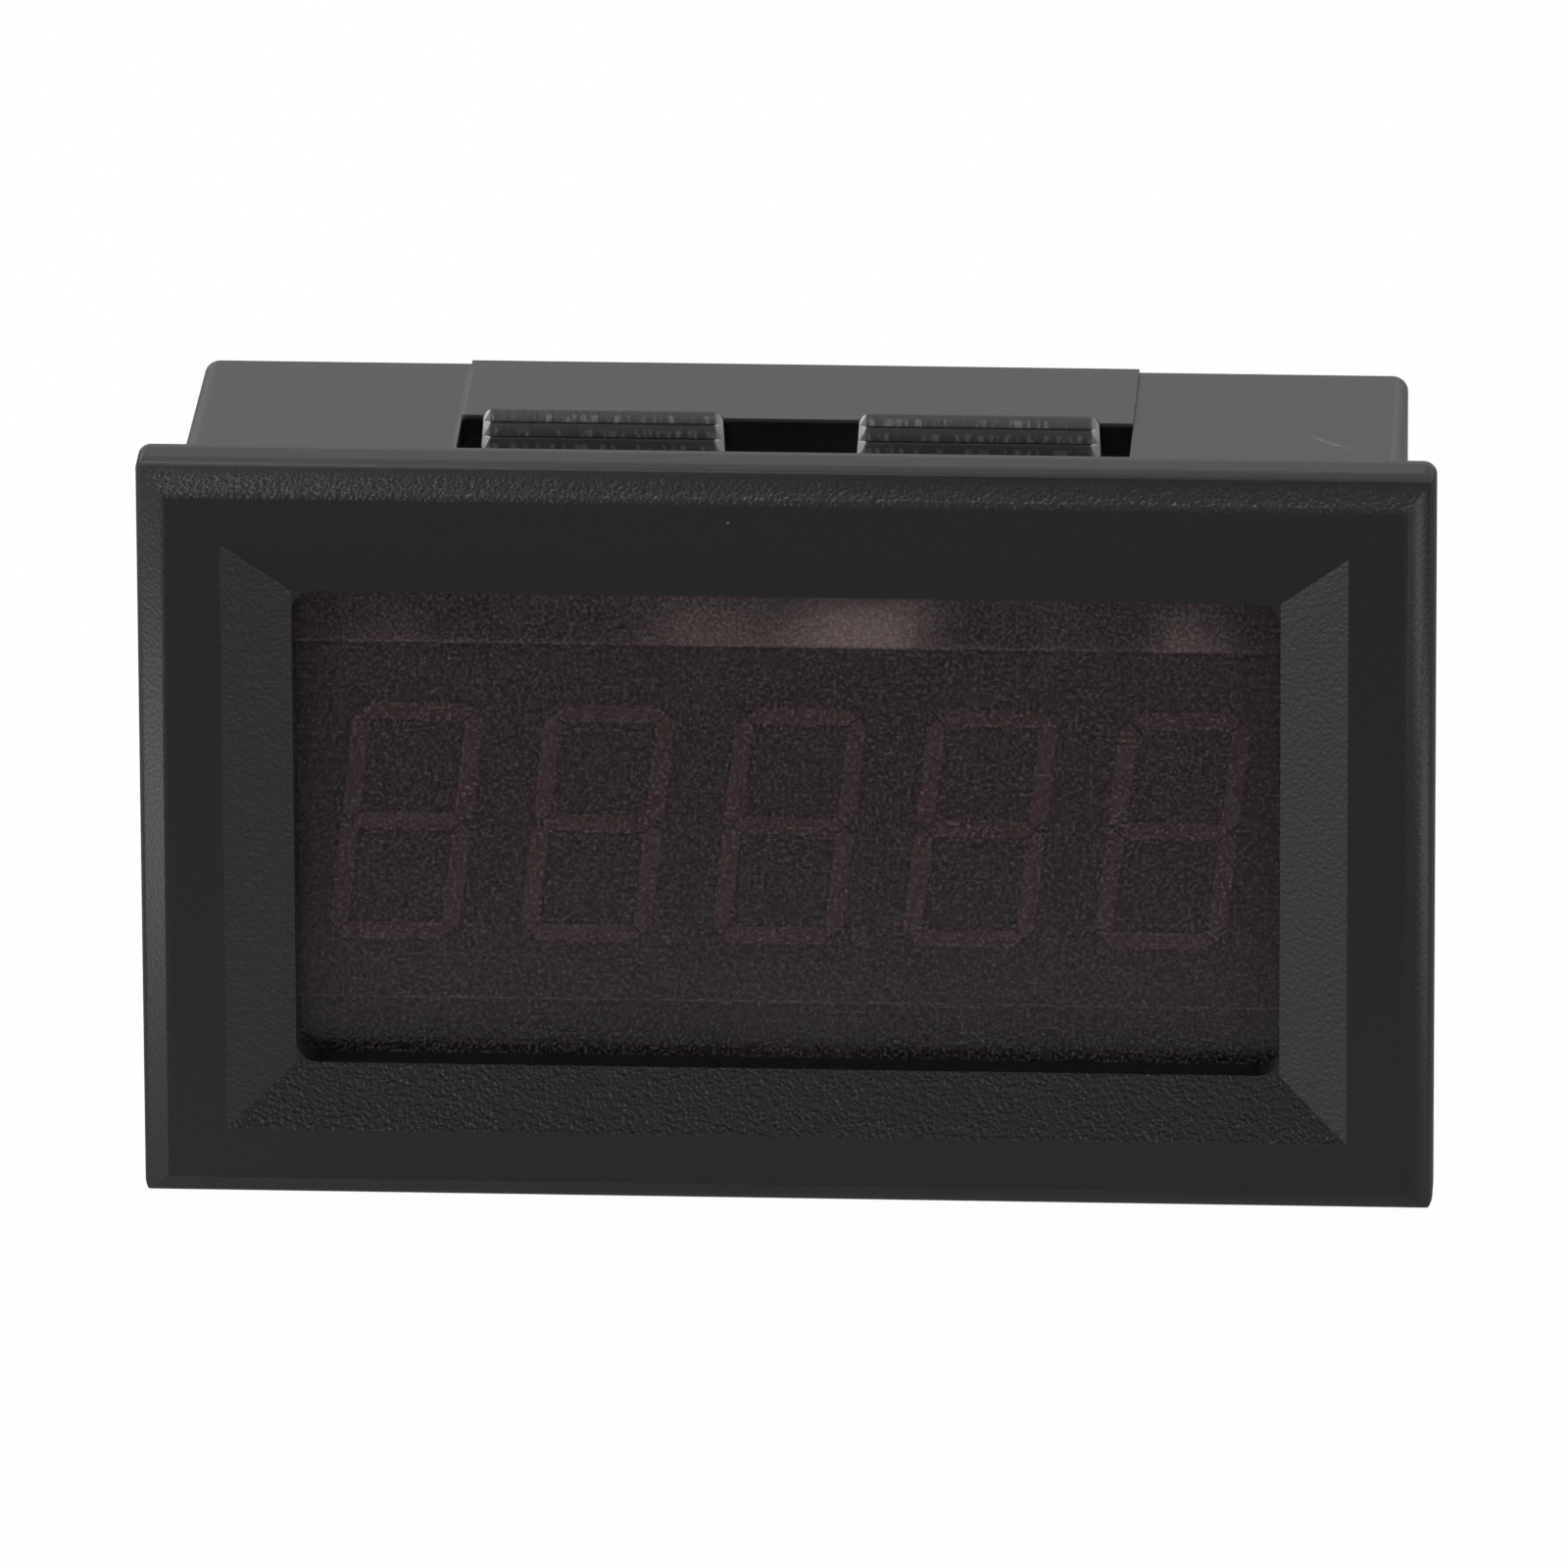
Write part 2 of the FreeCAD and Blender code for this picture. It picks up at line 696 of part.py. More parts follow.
def segment_corners(middle_x, middle_z, upright):
    """Corners of one slanted segment, pointed at both ends."""
    half_stroke = mm("segment_stroke") / 2
    length = mm("segment_rise") if upright else segment_span
    half = length / 2 - mm("segment_gap") / 2
    flat = [(-half, 0), (half_stroke - half, -half_stroke), (half - half_stroke, -half_stroke),
            (half, 0), (half - half_stroke, half_stroke), (half_stroke - half, half_stroke)]
    slant = math.tan(math.radians(mm("segment_slant_angle")))
    corners = []
    for along, across in flat:
        x, z = (across, along) if upright else (along, across)
        z += middle_z
        corners.append((x + middle_x + slant * z, z + mm("module_centre_height")))
    return corners


def plate(corners, start, depth):
    """A flat prism of an outline in the front view."""
    points = [Vector(x, start, z) for x, z in corners]
    face = Part.Face(Part.makePolygon(points + points[:1]))
    return face.extrude(Vector(0, depth, 0))


def digit_middle(index):
    """Where a digit's middle lies, counted from the left."""
    return (index - (mm("digit_count") + 1) / 2) * digit_pitch


def digit_segments(index):
    """The seven segments of a digit, counted from the left."""
    middle = digit_middle(index)
    rise = mm("segment_rise")
    side = segment_span / 2
    places = [(middle, rise, False), (middle, 0, False), (middle, -rise, False),
              (middle - side, rise / 2, True), (middle + side, rise / 2, True),
              (middle - side, -rise / 2, True), (middle + side, -rise / 2, True)]
    return [plate(segment_corners(*place), module_front, mm("segment_depth"))
            for place in places]


def decimal_points():
    """The five round points at the lower right of the digits."""
    low = mm("module_centre_height") - mm("segment_rise")
    slant = math.tan(math.radians(mm("segment_slant_angle"))) * mm("segment_rise")
    offset = (segment_span + mm("segment_stroke")) / 2 + mm("point_gap") + mm("point_radius")
    dots = []
    for index in range(1, int(mm("digit_count")) + 1):
        middle = digit_middle(index) + offset - slant
        dots.append(Part.makeCylinder(mm("point_radius"), mm("segment_depth"),
                                      Vector(middle, module_front, low), Vector(0, 1, 0)))
    return dots


# Housing of the display: a block with a well open to the rear and light wells in its face.
def display():
    body = part_body("display_block")
    section = body_sketch(body, "module_section", "XZ_Plane", 0,
                          "sizes.module_centre_height", module_front)
    rectangle(section, MODULE_WIDTH, MODULE_HEIGHT)
    block_pad = extrude(body, "Pad", section, "sizes.module_depth")
    edged = soften(body, "Chamfer", block_pad, lies_at(module_front),
                   "sizes.module_edge_chamfer")
    well = body_sketch(body, "module_well", "XZ_Plane", 0,
                       "sizes.module_centre_height", board_front)
    rectangle(well, MODULE_WIDTH + " - 2 * sizes.module_wall",
              MODULE_HEIGHT + " - 2 * sizes.module_wall")
    hollowed = extrude(body, "Pocket", well, "sizes.module_well_depth", forward=True)
    body.Tip = hollowed
    digits = [digit_segments(i) for i in range(1, int(mm("digit_count")) + 1)]
    dots = decimal_points()
    wells = group("light_wells", [solid for digit in digits for solid in digit] + dots)
    doc.recompute()
    housing = cut("display_housing_cut", body, wells)
    finished(housing, "display_housing")
    for index, digit in enumerate(digits, 1):
        finished(group("digit_%d" % index, digit), "digit_%d_segments" % index)
    finished(group("points", dots), "decimal_points")


def pin_places():
    """Where the pins of the display module pass through the board."""
    places = []
    count = int(mm("pin_columns"))
    for column in range(count):
        x = (column - (count - 1) / 2) * mm("pin_pitch")
        for level in (-1, 1):
            row = level * (module_half_height - mm("pin_row_inset"))
            places.append((x, mm("module_centre_height") + row))
    return places


def header_places():
    """Where the pins of the lead header pass through the board."""
    return [(header_x, header_z + i * mm("header_pitch")) for i in (-1, 0, 1)]


def square_pin(x, z, width, start, end):
    """A square pin along Y."""
    low = Vector(x - width / 2, start, z - width / 2)
    return Part.makeBox(width, end - start, width, low)


# Pins of the display, moulded into the floor of its well.
def display_pins():
    start = board_front - mm("module_well_depth")
    end = board_back + mm("pin_beyond_board")
    pins = [square_pin(x, z, mm("pin_width"), start, end) for x, z in pin_places()]
    finished(group("module_pins", pins), "display_pins")


# The board. Solder fills its plated holes, so each is as wide as its pin.
def main_board():
    body = part_body("board")
    section = body_sketch(body, "board_section", "XZ_Plane", 0, 0, board_front)
    narrowing = " - 2 * %f * tan(sizes.body_draft_angle * 1 deg)" % board_back
    margin = " - 2 * (sizes.wall_thickness + sizes.board_clearance)"
    rectangle(section, BODY_WIDTH + margin + narrowing, BODY_HEIGHT + margin + narrowing)
    body.Tip = extrude(body, "Pad", section, "sizes.board_thickness")
    start = board_front - mm("cut_margin")
    end = board_back + mm("cut_margin")
    holes = [square_pin(x, z, mm("pin_width"), start, end)
             for x, z in pin_places()]
    holes += [square_pin(x, z, mm("header_pin_width"), start, end)
              for x, z in header_places()]
    drilled = cut("drilled_board", body, group("board_holes", holes))
    finished(drilled, "main_board")


def solder_joint(x, z, pin_width, start, way):
    """A hollow-sided collar of solder round a pin, standing on one face of the board."""
    tip = pin_width / math.sqrt(2) + mm("solder_skin")
    sides = int(mm("solder_sides"))
    rings = []
    for rise, radius in ((0, mm("solder_radius")),
                         (mm("solder_foot_height"), tip + mm("solder_foot_swell")),
                         (mm("solder_height"), tip)):
        points = []
        for i in range(sides):
            turn = 2 * math.pi * i / sides
            points.append(Vector(x + radius * math.cos(turn), start + way * rise,
                                 z + radius * math.sin(turn)))
        rings.append(Part.makePolygon(points + points[:1]))
    collar = Part.makeLoft(rings, True, True)
    reach = mm("solder_height") + mm("cut_margin")
    return collar.cut(square_pin(x, z, pin_width, start - reach, start + reach))


# Solder behind the board for the display, and in front of it for the header.
def solder_joints():
    joints = [solder_joint(x, z, mm("pin_width"), board_back, 1) for x, z in pin_places()]
    joints += [solder_joint(x, z, mm("header_pin_width"), board_front, -1)
               for x, z in header_places()]
    finished(group("solder", joints), "solder_joints")


# A moulded chip with its long side along X, standing on the rear of the board.
def chip(label, prefix, x, z):
    body = part_body(prefix + "_chip")
    section = body_sketch(body, prefix + "_section", "XZ_Plane", x, z,
                          board_back + mm("chip_stand_off"))
    rectangle(section, "sizes." + prefix + "_length", "sizes." + prefix + "_width")
    pad = extrude(body, "Pad", section, "sizes." + prefix + "_height")
    top = board_back + mm("chip_stand_off") + mm(prefix + "_height")
    body.Tip = soften(body, "Chamfer", pad, lies_at(top), "sizes.leg_thickness")
    finished(body, label)


def gull_wing(x, z, width, wall, height, side):
    """A bent leg from the side wall of a chip down to the board."""
    thick = mm("leg_thickness")
    out = wall + side * mm("leg_reach")
    knee = wall + side * (mm("leg_reach") - mm("leg_foot"))
    board = board_back
    shoulder = board + height / 2
    path = [(wall, shoulder), (knee, shoulder), (knee, board), (out, board),
            (out, board + thick), (knee + side * thick, board + thick),
            (knee + side * thick, shoulder + thick), (wall, shoulder + thick)]
    points = [Vector(x - width / 2, y, z + up) for up, y in path]
    face = Part.Face(Part.makePolygon(points + points[:1]))
    return face.extrude(Vector(width, 0, 0))


def chip_legs(label, prefix, x, z):
    count = int(mm(prefix + "_legs_per_side"))
    wall = mm(prefix + "_width") / 2
    legs = []
    for i in range(count):
        place = x + (i - (count - 1) / 2) * mm(prefix + "_pitch")
        for side in (-1, 1):
            legs.append(gull_wing(place, z, mm(prefix + "_leg_width"), side * wall,
                                  mm(prefix + "_height"), side))
    finished(group(prefix + "_leg_group", legs), label)


# The regulator: a small moulding on a metal tab with three legs.
def regulator():
    x = mm("regulator_end_inset") - board_half_width
    z = board_half_height - mm("regulator_long_inset")
    body = part_body("regulator_block")
    section = body_sketch(body, "regulator_section", "XZ_Plane", x, z,
                          board_back + mm("leg_thickness"))
    rectangle(section, "sizes.regulator_length", "sizes.regulator_width")
    pad = extrude(body, "Pad", section, "sizes.regulator_height")
    top = board_back + mm("leg_thickness") + mm("regulator_height")
    body.Tip = soften(body, "Chamfer", pad, lies_at(top), "sizes.leg_thickness")
    finished(body, "voltage_regulator")
    thick = mm("leg_thickness")
    low_edge = z - mm("regulator_width") / 2
    high_edge = z + mm("regulator_width") / 2
    reach = mm("regulator_leg_reach")
    half_tab = mm("regulator_tab_width") / 2
    half_leg = mm("regulator_leg_width") / 2
    tab_start = low_edge + mm("regulator_tab_inset")
    tab_end = high_edge + mm("regulator_tab_reach")
    metal = [Part.makeBox(2 * half_tab, thick, tab_end - tab_start,
                          Vector(x - half_tab, board_back, tab_start))]
    metal += [Part.makeBox(2 * half_leg, thick, reach + mm("regulator_leg_tuck"),
                           Vector(x - half_leg + i * mm("regulator_leg_pitch"),
                                  board_back, low_edge - reach))
              for i in (-1, 0, 1)]
    finished(group("regulator_metal", metal), "regulator_legs")


# The diode against reversed leads: a block with a folded tab at each end.
def diode():
    x = mm("diode_end_inset") - board_half_width
    z = mm("diode_above_middle")
    body = part_body("diode_block")
    section = body_sketch(body, "diode_section", "XZ_Plane", x, z,
                          board_back + mm("leg_thickness"))
    rectangle(section, "sizes.diode_length", "sizes.diode_width")
    pad = extrude(body, "Pad", section, "sizes.diode_height")
    top = board_back + mm("leg_thickness") + mm("diode_height")
    body.Tip = soften(body, "Chamfer", pad, lies_at(top), "sizes.leg_thickness")
    finished(body, "reverse_diode")
    thick = mm("leg_thickness")
    tabs = []
    half = mm("diode_tab_width") / 2
    inner = mm("diode_length") / 2
    outer = inner + mm("diode_tab_reach")
    for side in (-1, 1):
        path = [(inner, top - mm("diode_height") / 2), (inner + thick, top - mm("diode_height") / 2),
                (inner + thick, board_back + thick), (outer, board_back + thick),
                (outer, board_back), (inner - outer + inner, board_back),
                (inner - outer + inner, board_back + thick), (inner, board_back + thick)]
        points = [Vector(x + side * across, y, z - half) for across, y in path]
        face = Part.Face(Part.makePolygon(points + points[:1]))
        tabs.append(face.extrude(Vector(0, 0, 2 * half)))
    finished(group("diode_metal", tabs), "diode_tabs")


# The input capacitor: a rolled can that stands on a square base.
def input_capacitor():
    x = mm("can_end_inset") - board_half_width
    z = mm("can_long_inset") - board_half_height
    base = part_body("capacitor_base_block")
    section = body_sketch(base, "base_section", "XZ_Plane", x, z, board_back)
    rectangle(section, "sizes.can_base_width", "sizes.can_base_width")
    pad = extrude(base, "Pad", section, "sizes.can_base_height")
    half = mm("can_base_width") / 2

    def keyed(edge):
        return runs_back(edge) and edge.firstVertex().Point.z < z - half + 0.01

    base.Tip = soften(base, "Chamfer", pad, keyed, "sizes.can_base_corner")
    finished(base, "capacitor_base")
    radius = mm("can_radius")
    foot = board_back + mm("can_base_height")
    waist = foot + mm("can_groove_height")
    top = foot + mm("can_height")
    groove = mm("can_groove_depth")
    soft = mm("can_edge_rounding")
    section = outline("can_section", [
        (0, foot), (radius, foot), (radius, waist - groove), (radius - groove, waist),
        (radius, waist + groove), (radius, top, soft), (0, top)], ALONG_Z, Vector(x, 0, z))
    can = doc.addObject("Part::Revolution", "can_turned")
    can.Source = section
    can.Base = Vector(x, 0, z)
    can.Axis = Vector(0, 1, 0)
    can.Angle = 360
    can.Solid = True
    finished(can, "capacitor_can")


def chip_component(x, z, kind, upright):
    """Body and two end caps of a chip resistor or capacitor."""
    cap = mm("end_cap_length")
    length = mm(kind + "_length")
    width = mm(kind + "_width")
    height = mm(kind + "_height")

    def bar(start, end, extra):
        half = width / 2 + extra
        low = (start, -half) if not upright else (-half, start)
        span = (end - start, 2 * half) if not upright else (2 * half, end - start)
        return Part.makeBox(span[0], height + extra, span[1],
                            Vector(x + low[0], board_back, z + low[1]))

    middle = bar(cap - length / 2, length / 2 - cap, 0)
    plating = mm("end_cap_thickness")
    ends = [bar(-length / 2, cap - length / 2, plating),
            bar(length / 2 - cap, length / 2, plating)]
    return middle, ends


def in_row(start, pitch, count, level, upright):
    """Places of like components side by side along X."""
    return [(start + i * pitch, level, upright) for i in range(count)]


# Small components in a row along each long edge, and in columns beside the chips.
def chip_components():
    top_row = board_half_height - mm("row_inset")
    middle = mm("module_centre_height")
    column = mm("side_column_pitch") / 2
    resistor_places = in_row(mm("top_row_lying_start"), mm("lying_pitch"), 3, top_row, False)
    resistor_places += in_row(mm("top_row_upright_start"), mm("upright_pitch"), 2, top_row, True)
    resistor_places += in_row(mm("bottom_row_lying_start"), mm("lying_pitch"), 2, -top_row, False)
    resistor_places += in_row(mm("bottom_row_upright_start"), mm("upright_pitch"), 2,
                              -top_row, True)
    resistor_places += [(mm("side_column_x"), middle + column, True),
                        (mm("side_column_x"), middle - column, True),
                        (mm("left_column_x"), middle, True)]
    edge = mm("edge_capacitor_inset") - board_half_width
    capacitor_places = in_row(mm("bottom_row_lying_start") + 2 * mm("lying_pitch"),
                              mm("lying_pitch"), 1, -top_row, False)
    capacitor_places += [(edge, mm("diode_above_middle"), True),
                         (edge, mm("diode_above_middle") + mm("edge_capacitor_pitch"), True),
                         (mm("top_row_lying_start"), -top_row, True),
                         (mm("corner_capacitor_x"), top_row, True)]
    ends = []
    for kind, places in (("resistor", resistor_places), ("capacitor", capacitor_places)):
        bodies = []
        for x, z, upright in places:
            middle_part, caps = chip_component(x, z, kind, upright)
            bodies.append(middle_part)
            ends += caps
        finished(group(kind + "_group", bodies), "chip_" + kind + "s")
    finished(group("end_cap_group", ends), "chip_end_caps")


# The calibration trimmer: a square body with a round well for the rotor.
def trimmer():
    x = board_half_width - mm("trimmer_end_inset")
    z = board_half_height - mm("trimmer_long_inset")
    floor = board_back + mm("leg_thickness")
    top = floor + mm("trimmer_height")
    body = part_body("trimmer_block")
    section = body_sketch(body, "trimmer_section", "XZ_Plane", x, z, floor)
    rectangle(section, "sizes.trimmer_width", "sizes.trimmer_width")
    pad = extrude(body, "Pad", section, "sizes.trimmer_height")
    edged = soften(body, "Chamfer", pad, lies_at(top), "sizes.trimmer_edge_chamfer")
    well = body_sketch(body, "rotor_well", "XZ_Plane", x, z, top)
    circle(well, "sizes.rotor_radius + sizes.rotor_fit")
    opened = extrude(body, "Pocket", well, "sizes.rotor_height + sizes.rotor_fit", forward=True)
    pivot = body_sketch(body, "pivot_hole", "XZ_Plane", x, z,
                        top - mm("rotor_height") - mm("rotor_fit"))
    circle(pivot, "sizes.rotor_pivot_radius + sizes.rotor_fit")
    body.Tip = extrude(body, "Pocket", pivot, "sizes.rotor_pivot_depth + sizes.rotor_fit",
                       forward=True)
    finished(body, "trimmer_body")

    rotor = part_body("rotor_turned")
    disc = body_sketch(rotor, "rotor_disc", "XZ_Plane", x, z, top - mm("rotor_height"))
    circle(disc, "sizes.rotor_radius")
    extrude(rotor, "Pad", disc, "sizes.rotor_height")
    stem = body_sketch(rotor, "rotor_pivot", "XZ_Plane", x, z, top - mm("rotor_height"))
    circle(stem, "sizes.rotor_pivot_radius")
    extrude(rotor, "Pad", stem, "sizes.rotor_pivot_depth", forward=True)
    first = body_sketch(rotor, "rotor_slot", "XZ_Plane", x, z, top)
    rectangle(first, "sizes.rotor_slot_length", "sizes.rotor_slot_width")
    extrude(rotor, "Pocket", first, "sizes.rotor_slot_depth", forward=True)
    second = body_sketch(rotor, "rotor_cross_slot", "XZ_Plane", x, z, top)
    rectangle(second, "sizes.rotor_slot_width", "sizes.rotor_slot_length")
    rotor.Tip = extrude(rotor, "Pocket", second, "sizes.rotor_slot_depth", forward=True)
    finished(rotor, "trimmer_rotor")

    thick = mm("leg_thickness")
    half = mm("trimmer_width") / 2
    reach = mm("trimmer_leg_reach")
    wide = mm("trimmer_leg_width")
    places = [(x, z + half - reach), (x - half / 2, z - half - reach), (x + half / 2, z - half - reach)]
    legs = [Part.makeBox(wide, thick, 2 * reach, Vector(px - wide / 2, board_back, pz))
            for px, pz in places]
    finished(group("trimmer_metal", legs), "trimmer_legs")


# The header for the leads: a box open to the rear, with a notched long wall.
def lead_header():
    x = header_x
    z = header_z
    top = board_back + mm("header_height")
    body = part_body("header_box")
    section = body_sketch(body, "header_section", "XZ_Plane", x, z, board_back)
    rectangle(section, "sizes.header_width", "sizes.header_length")
    pad = extrude(body, "Pad", section, "sizes.header_height")
    soften(body, "Chamfer", pad, runs_back, "sizes.header_edge_chamfer")
    socket = body_sketch(body, "header_socket", "XZ_Plane", x, z, top)
    rectangle(socket, "sizes.header_width - 2 * sizes.header_wall",
              "sizes.header_length - 2 * sizes.header_wall")
    extrude(body, "Pocket", socket, "sizes.header_height - sizes.header_floor", forward=True)
    for side in (-1, 1):
        notch = body_sketch(body, "header_notch", "XZ_Plane",
                            x - mm("header_width") / 2, z + side * mm("header_pitch"), top)
        rectangle(notch, "3 * sizes.header_wall", "sizes.header_notch_width")
        body.Tip = extrude(body, "Pocket", notch, "sizes.header_notch_depth", forward=True)
    pins = [square_pin(px, pz, mm("header_pin_width"), board_front - mm("header_pin_tail"),
                       top - mm("header_pin_below_rim"))
            for px, pz in header_places()]
    doc.recompute()
    holes = group("header_pin_holes", [pin.copy() for pin in pins])
    finished(cut("header_with_holes", body, holes), "header_shell")
    finished(group("header_pin_group", pins), "header_pins")


case()
filter_plate()
display()
display_pins()
main_board()
solder_joints()
chip("controller_chip", "controller", mm("controller_x"), mm("module_centre_height"))
chip_legs("controller_legs", "controller", mm("controller_x"), mm("module_centre_height"))
chip("converter_chip", "converter", mm("converter_x"), mm("module_centre_height"))
chip_legs("converter_legs", "converter", mm("converter_x"), mm("module_centre_height"))
regulator()
diode()
input_capacitor()
chip_components()
trimmer()
lead_header()

doc.recompute()

# Every object has to be sound before any file is written.
for thing in doc.Objects:
    if "Invalid" in thing.State or "Error" in thing.State:
        raise RuntimeError("failed: " + thing.Label)
for piece in parts:
    if piece.Shape.isNull() or not piece.Shape.isValid():
        raise RuntimeError("bad shape: " + piece.Label)

os.makedirs("parts", exist_ok=True)
for piece in parts:
    piece.Shape.exportStep("parts/" + piece.Label + ".step")
    box = piece.Shape.BoundBox
    print("%-24s solids %2d volume %9.3f  x %7.2f %7.2f  y %6.2f %6.2f  z %6.2f %6.2f" % (
        piece.Label, len(piece.Shape.Solids), piece.Shape.Volume,
        box.XMin, box.XMax, box.YMin, box.YMax, box.ZMin, box.ZMax))
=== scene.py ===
import math

import bpy
from mathutils import Matrix, Vector


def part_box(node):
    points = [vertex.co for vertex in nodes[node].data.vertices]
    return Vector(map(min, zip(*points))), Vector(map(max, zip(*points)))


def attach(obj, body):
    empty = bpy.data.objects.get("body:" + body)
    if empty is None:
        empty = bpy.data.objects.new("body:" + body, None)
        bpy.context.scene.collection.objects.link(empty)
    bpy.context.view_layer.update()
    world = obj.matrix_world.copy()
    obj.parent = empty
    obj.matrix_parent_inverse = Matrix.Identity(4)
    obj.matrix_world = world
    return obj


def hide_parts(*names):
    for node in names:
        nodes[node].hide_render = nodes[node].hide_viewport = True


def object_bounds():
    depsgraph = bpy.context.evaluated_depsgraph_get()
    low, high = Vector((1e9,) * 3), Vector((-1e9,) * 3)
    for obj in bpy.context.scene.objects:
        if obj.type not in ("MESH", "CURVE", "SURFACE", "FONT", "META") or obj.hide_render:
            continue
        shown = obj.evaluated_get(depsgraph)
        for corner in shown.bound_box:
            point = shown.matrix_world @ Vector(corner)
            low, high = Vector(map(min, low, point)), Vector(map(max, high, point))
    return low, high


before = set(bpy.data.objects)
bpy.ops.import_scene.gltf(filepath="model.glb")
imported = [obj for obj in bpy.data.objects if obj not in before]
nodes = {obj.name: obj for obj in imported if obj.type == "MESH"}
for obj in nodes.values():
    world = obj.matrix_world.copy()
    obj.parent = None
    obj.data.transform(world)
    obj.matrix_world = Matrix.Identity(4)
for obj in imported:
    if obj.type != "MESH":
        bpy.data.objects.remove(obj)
cad_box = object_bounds()
MM = 0.001


# Case: one black ABS moulding that holds all the rest, snapped into a panel.
# Its bezel comes from a spark-eroded cavity, which leaves a sparkling grain,
# and its tube and lugs from a smoother one, with scuffs from handling.

def linear(code):
    channels = [int(code[at:at + 2], 16) / 255 for at in (1, 3, 5)]
    curve = [c / 12.92 if c <= 0.04045 else ((c + 0.055) / 1.055) ** 2.4
             for c in channels]
    return curve + [1.0]


def add(tree, kind, sockets=None, **settings):
    node = tree.nodes.new(kind)
    for name, value in settings.items():
        setattr(node, name, value)
    for socket, value in (sockets or {}).items():
        if isinstance(value, bpy.types.NodeSocket):
            tree.links.new(value, node.inputs[socket])
        else:
            node.inputs[socket].default_value = value
    return node


def new_finish(name, **shader):
    material = bpy.data.materials.new(name)
    material.use_nodes = True
    tree = material.node_tree
    tree.nodes.clear()
    sockets = {key.replace("_", " "): value for key, value in shader.items()}
    surface = add(tree, "ShaderNodeBsdfPrincipled", sockets)
    add(tree, "ShaderNodeOutputMaterial", {"Surface": surface.outputs["BSDF"]})
    place = add(tree, "ShaderNodeTexCoord").outputs["Object"]
    return material, tree, surface, place


def per_mm(size):
    return 1 / (size * MM)


def give(material, *names):
    for name in names:
        for slot in nodes[name].material_slots:
            slot.material = material


def sharpen_between_wide_faces(mesh):
    """Marks edges sharp where two wide flat faces meet, but not those in a rounding."""
    narrowest_wide_face = 0.25 * MM
    least_fold = math.radians(4)
    planes = {}
    for face in mesh.polygons:
        level = face.normal.dot(face.center) / MM
        plane = (*(round(part, 2) for part in face.normal), round(level, 1))
        planes.setdefault(plane, []).append(face)
    sides = {}
    for faces in planes.values():
        longest = max((mesh.vertices[a].co - mesh.vertices[b].co).length
                      for face in faces for a, b in face.edge_keys)
        is_wide = sum(face.area for face in faces) / longest > narrowest_wide_face
        for face in faces:
            for key in face.edge_keys:
                sides.setdefault(key, []).append((face.normal, is_wide))
    for edge in mesh.edges:
        (near, near_is_wide), (far, far_is_wide) = sides[edge.key][:2]
        if near_is_wide and far_is_wide and near.angle(far, 0.0) > least_fold:
            edge.use_edge_sharp = True


def smooth_copy(node, name, body):
    """Replaces a node by its own shape, with roundings shaded smooth."""
    merge_distance = 0.002 * MM
    flat_within = math.radians(0.5)
    smooth_below = math.radians(35)
    bpy.ops.object.select_all(action="DESELECT")
    piece = bpy.data.objects.new(name, nodes[node].data.copy())
    bpy.context.scene.collection.objects.link(piece)
    bpy.context.view_layer.objects.active = piece
    piece.select_set(True)
    bpy.ops.object.mode_set(mode="EDIT")
    bpy.ops.mesh.select_all(action="SELECT")
    bpy.ops.mesh.remove_doubles(threshold=merge_distance)
    bpy.ops.mesh.dissolve_limited(angle_limit=flat_within)
    bpy.ops.object.mode_set(mode="OBJECT")
    bpy.ops.object.shade_smooth_by_angle(angle=smooth_below)
    sharpen_between_wide_faces(piece.data)
    weighted = piece.modifiers.new("wide_faces_stay_flat", "WEIGHTED_NORMAL")
    weighted.keep_sharp = True
    bpy.ops.object.modifier_apply(modifier=weighted.name)
    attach(piece, body)
    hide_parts(node)
    return piece


# The sockets of a Mix node that mixes colours: the share of the upper colour,
# the colour under it, the colour over it, and what comes out.
SHARE = 0
UNDER = 6
OVER = 7
MIXED = 2


def product(tree, *factors):
    total = factors[0]
    for factor in factors[1:]:
        total = add(tree, "ShaderNodeMath", {0: total, 1: factor},
                    operation="MULTIPLY").outputs["Value"]
    return total


def band(tree, value, low, high, soft=0.05):
    """1 between two places along an axis, in mm, and 0 outside them."""
    rise = add(tree, "ShaderNodeMapRange",
               {"Value": value, "From Min": (low - soft) * MM, "From Max": (low + soft) * MM})
    fall = add(tree, "ShaderNodeMapRange",
               {"Value": value, "From Min": (high + soft) * MM, "From Max": (high - soft) * MM})
    return product(tree, rise.outputs["Result"], fall.outputs["Result"])


# The moulded plastic is a satin, slightly warm black. All its places are in mm
# from the origin.
tube_roughness = 0.36
bezel_roughness = 0.5
handled_roughness = 0.8
abs_black, tree, surface, place = new_finish("moulded_abs_black", IOR=1.5)
spot = add(tree, "ShaderNodeSeparateXYZ", {"Vector": place})
across = spot.outputs["X"]
depth = spot.outputs["Y"]
from_middle_x = add(tree, "ShaderNodeMath", {0: across},
                    operation="ABSOLUTE").outputs["Value"]
from_middle_z = add(tree, "ShaderNodeMath", {0: spot.outputs["Z"]},
                    operation="ABSOLUTE").outputs["Value"]
facing = add(tree, "ShaderNodeSeparateXYZ",
             {"Vector": add(tree, "ShaderNodeNewGeometry").outputs["True Normal"]})

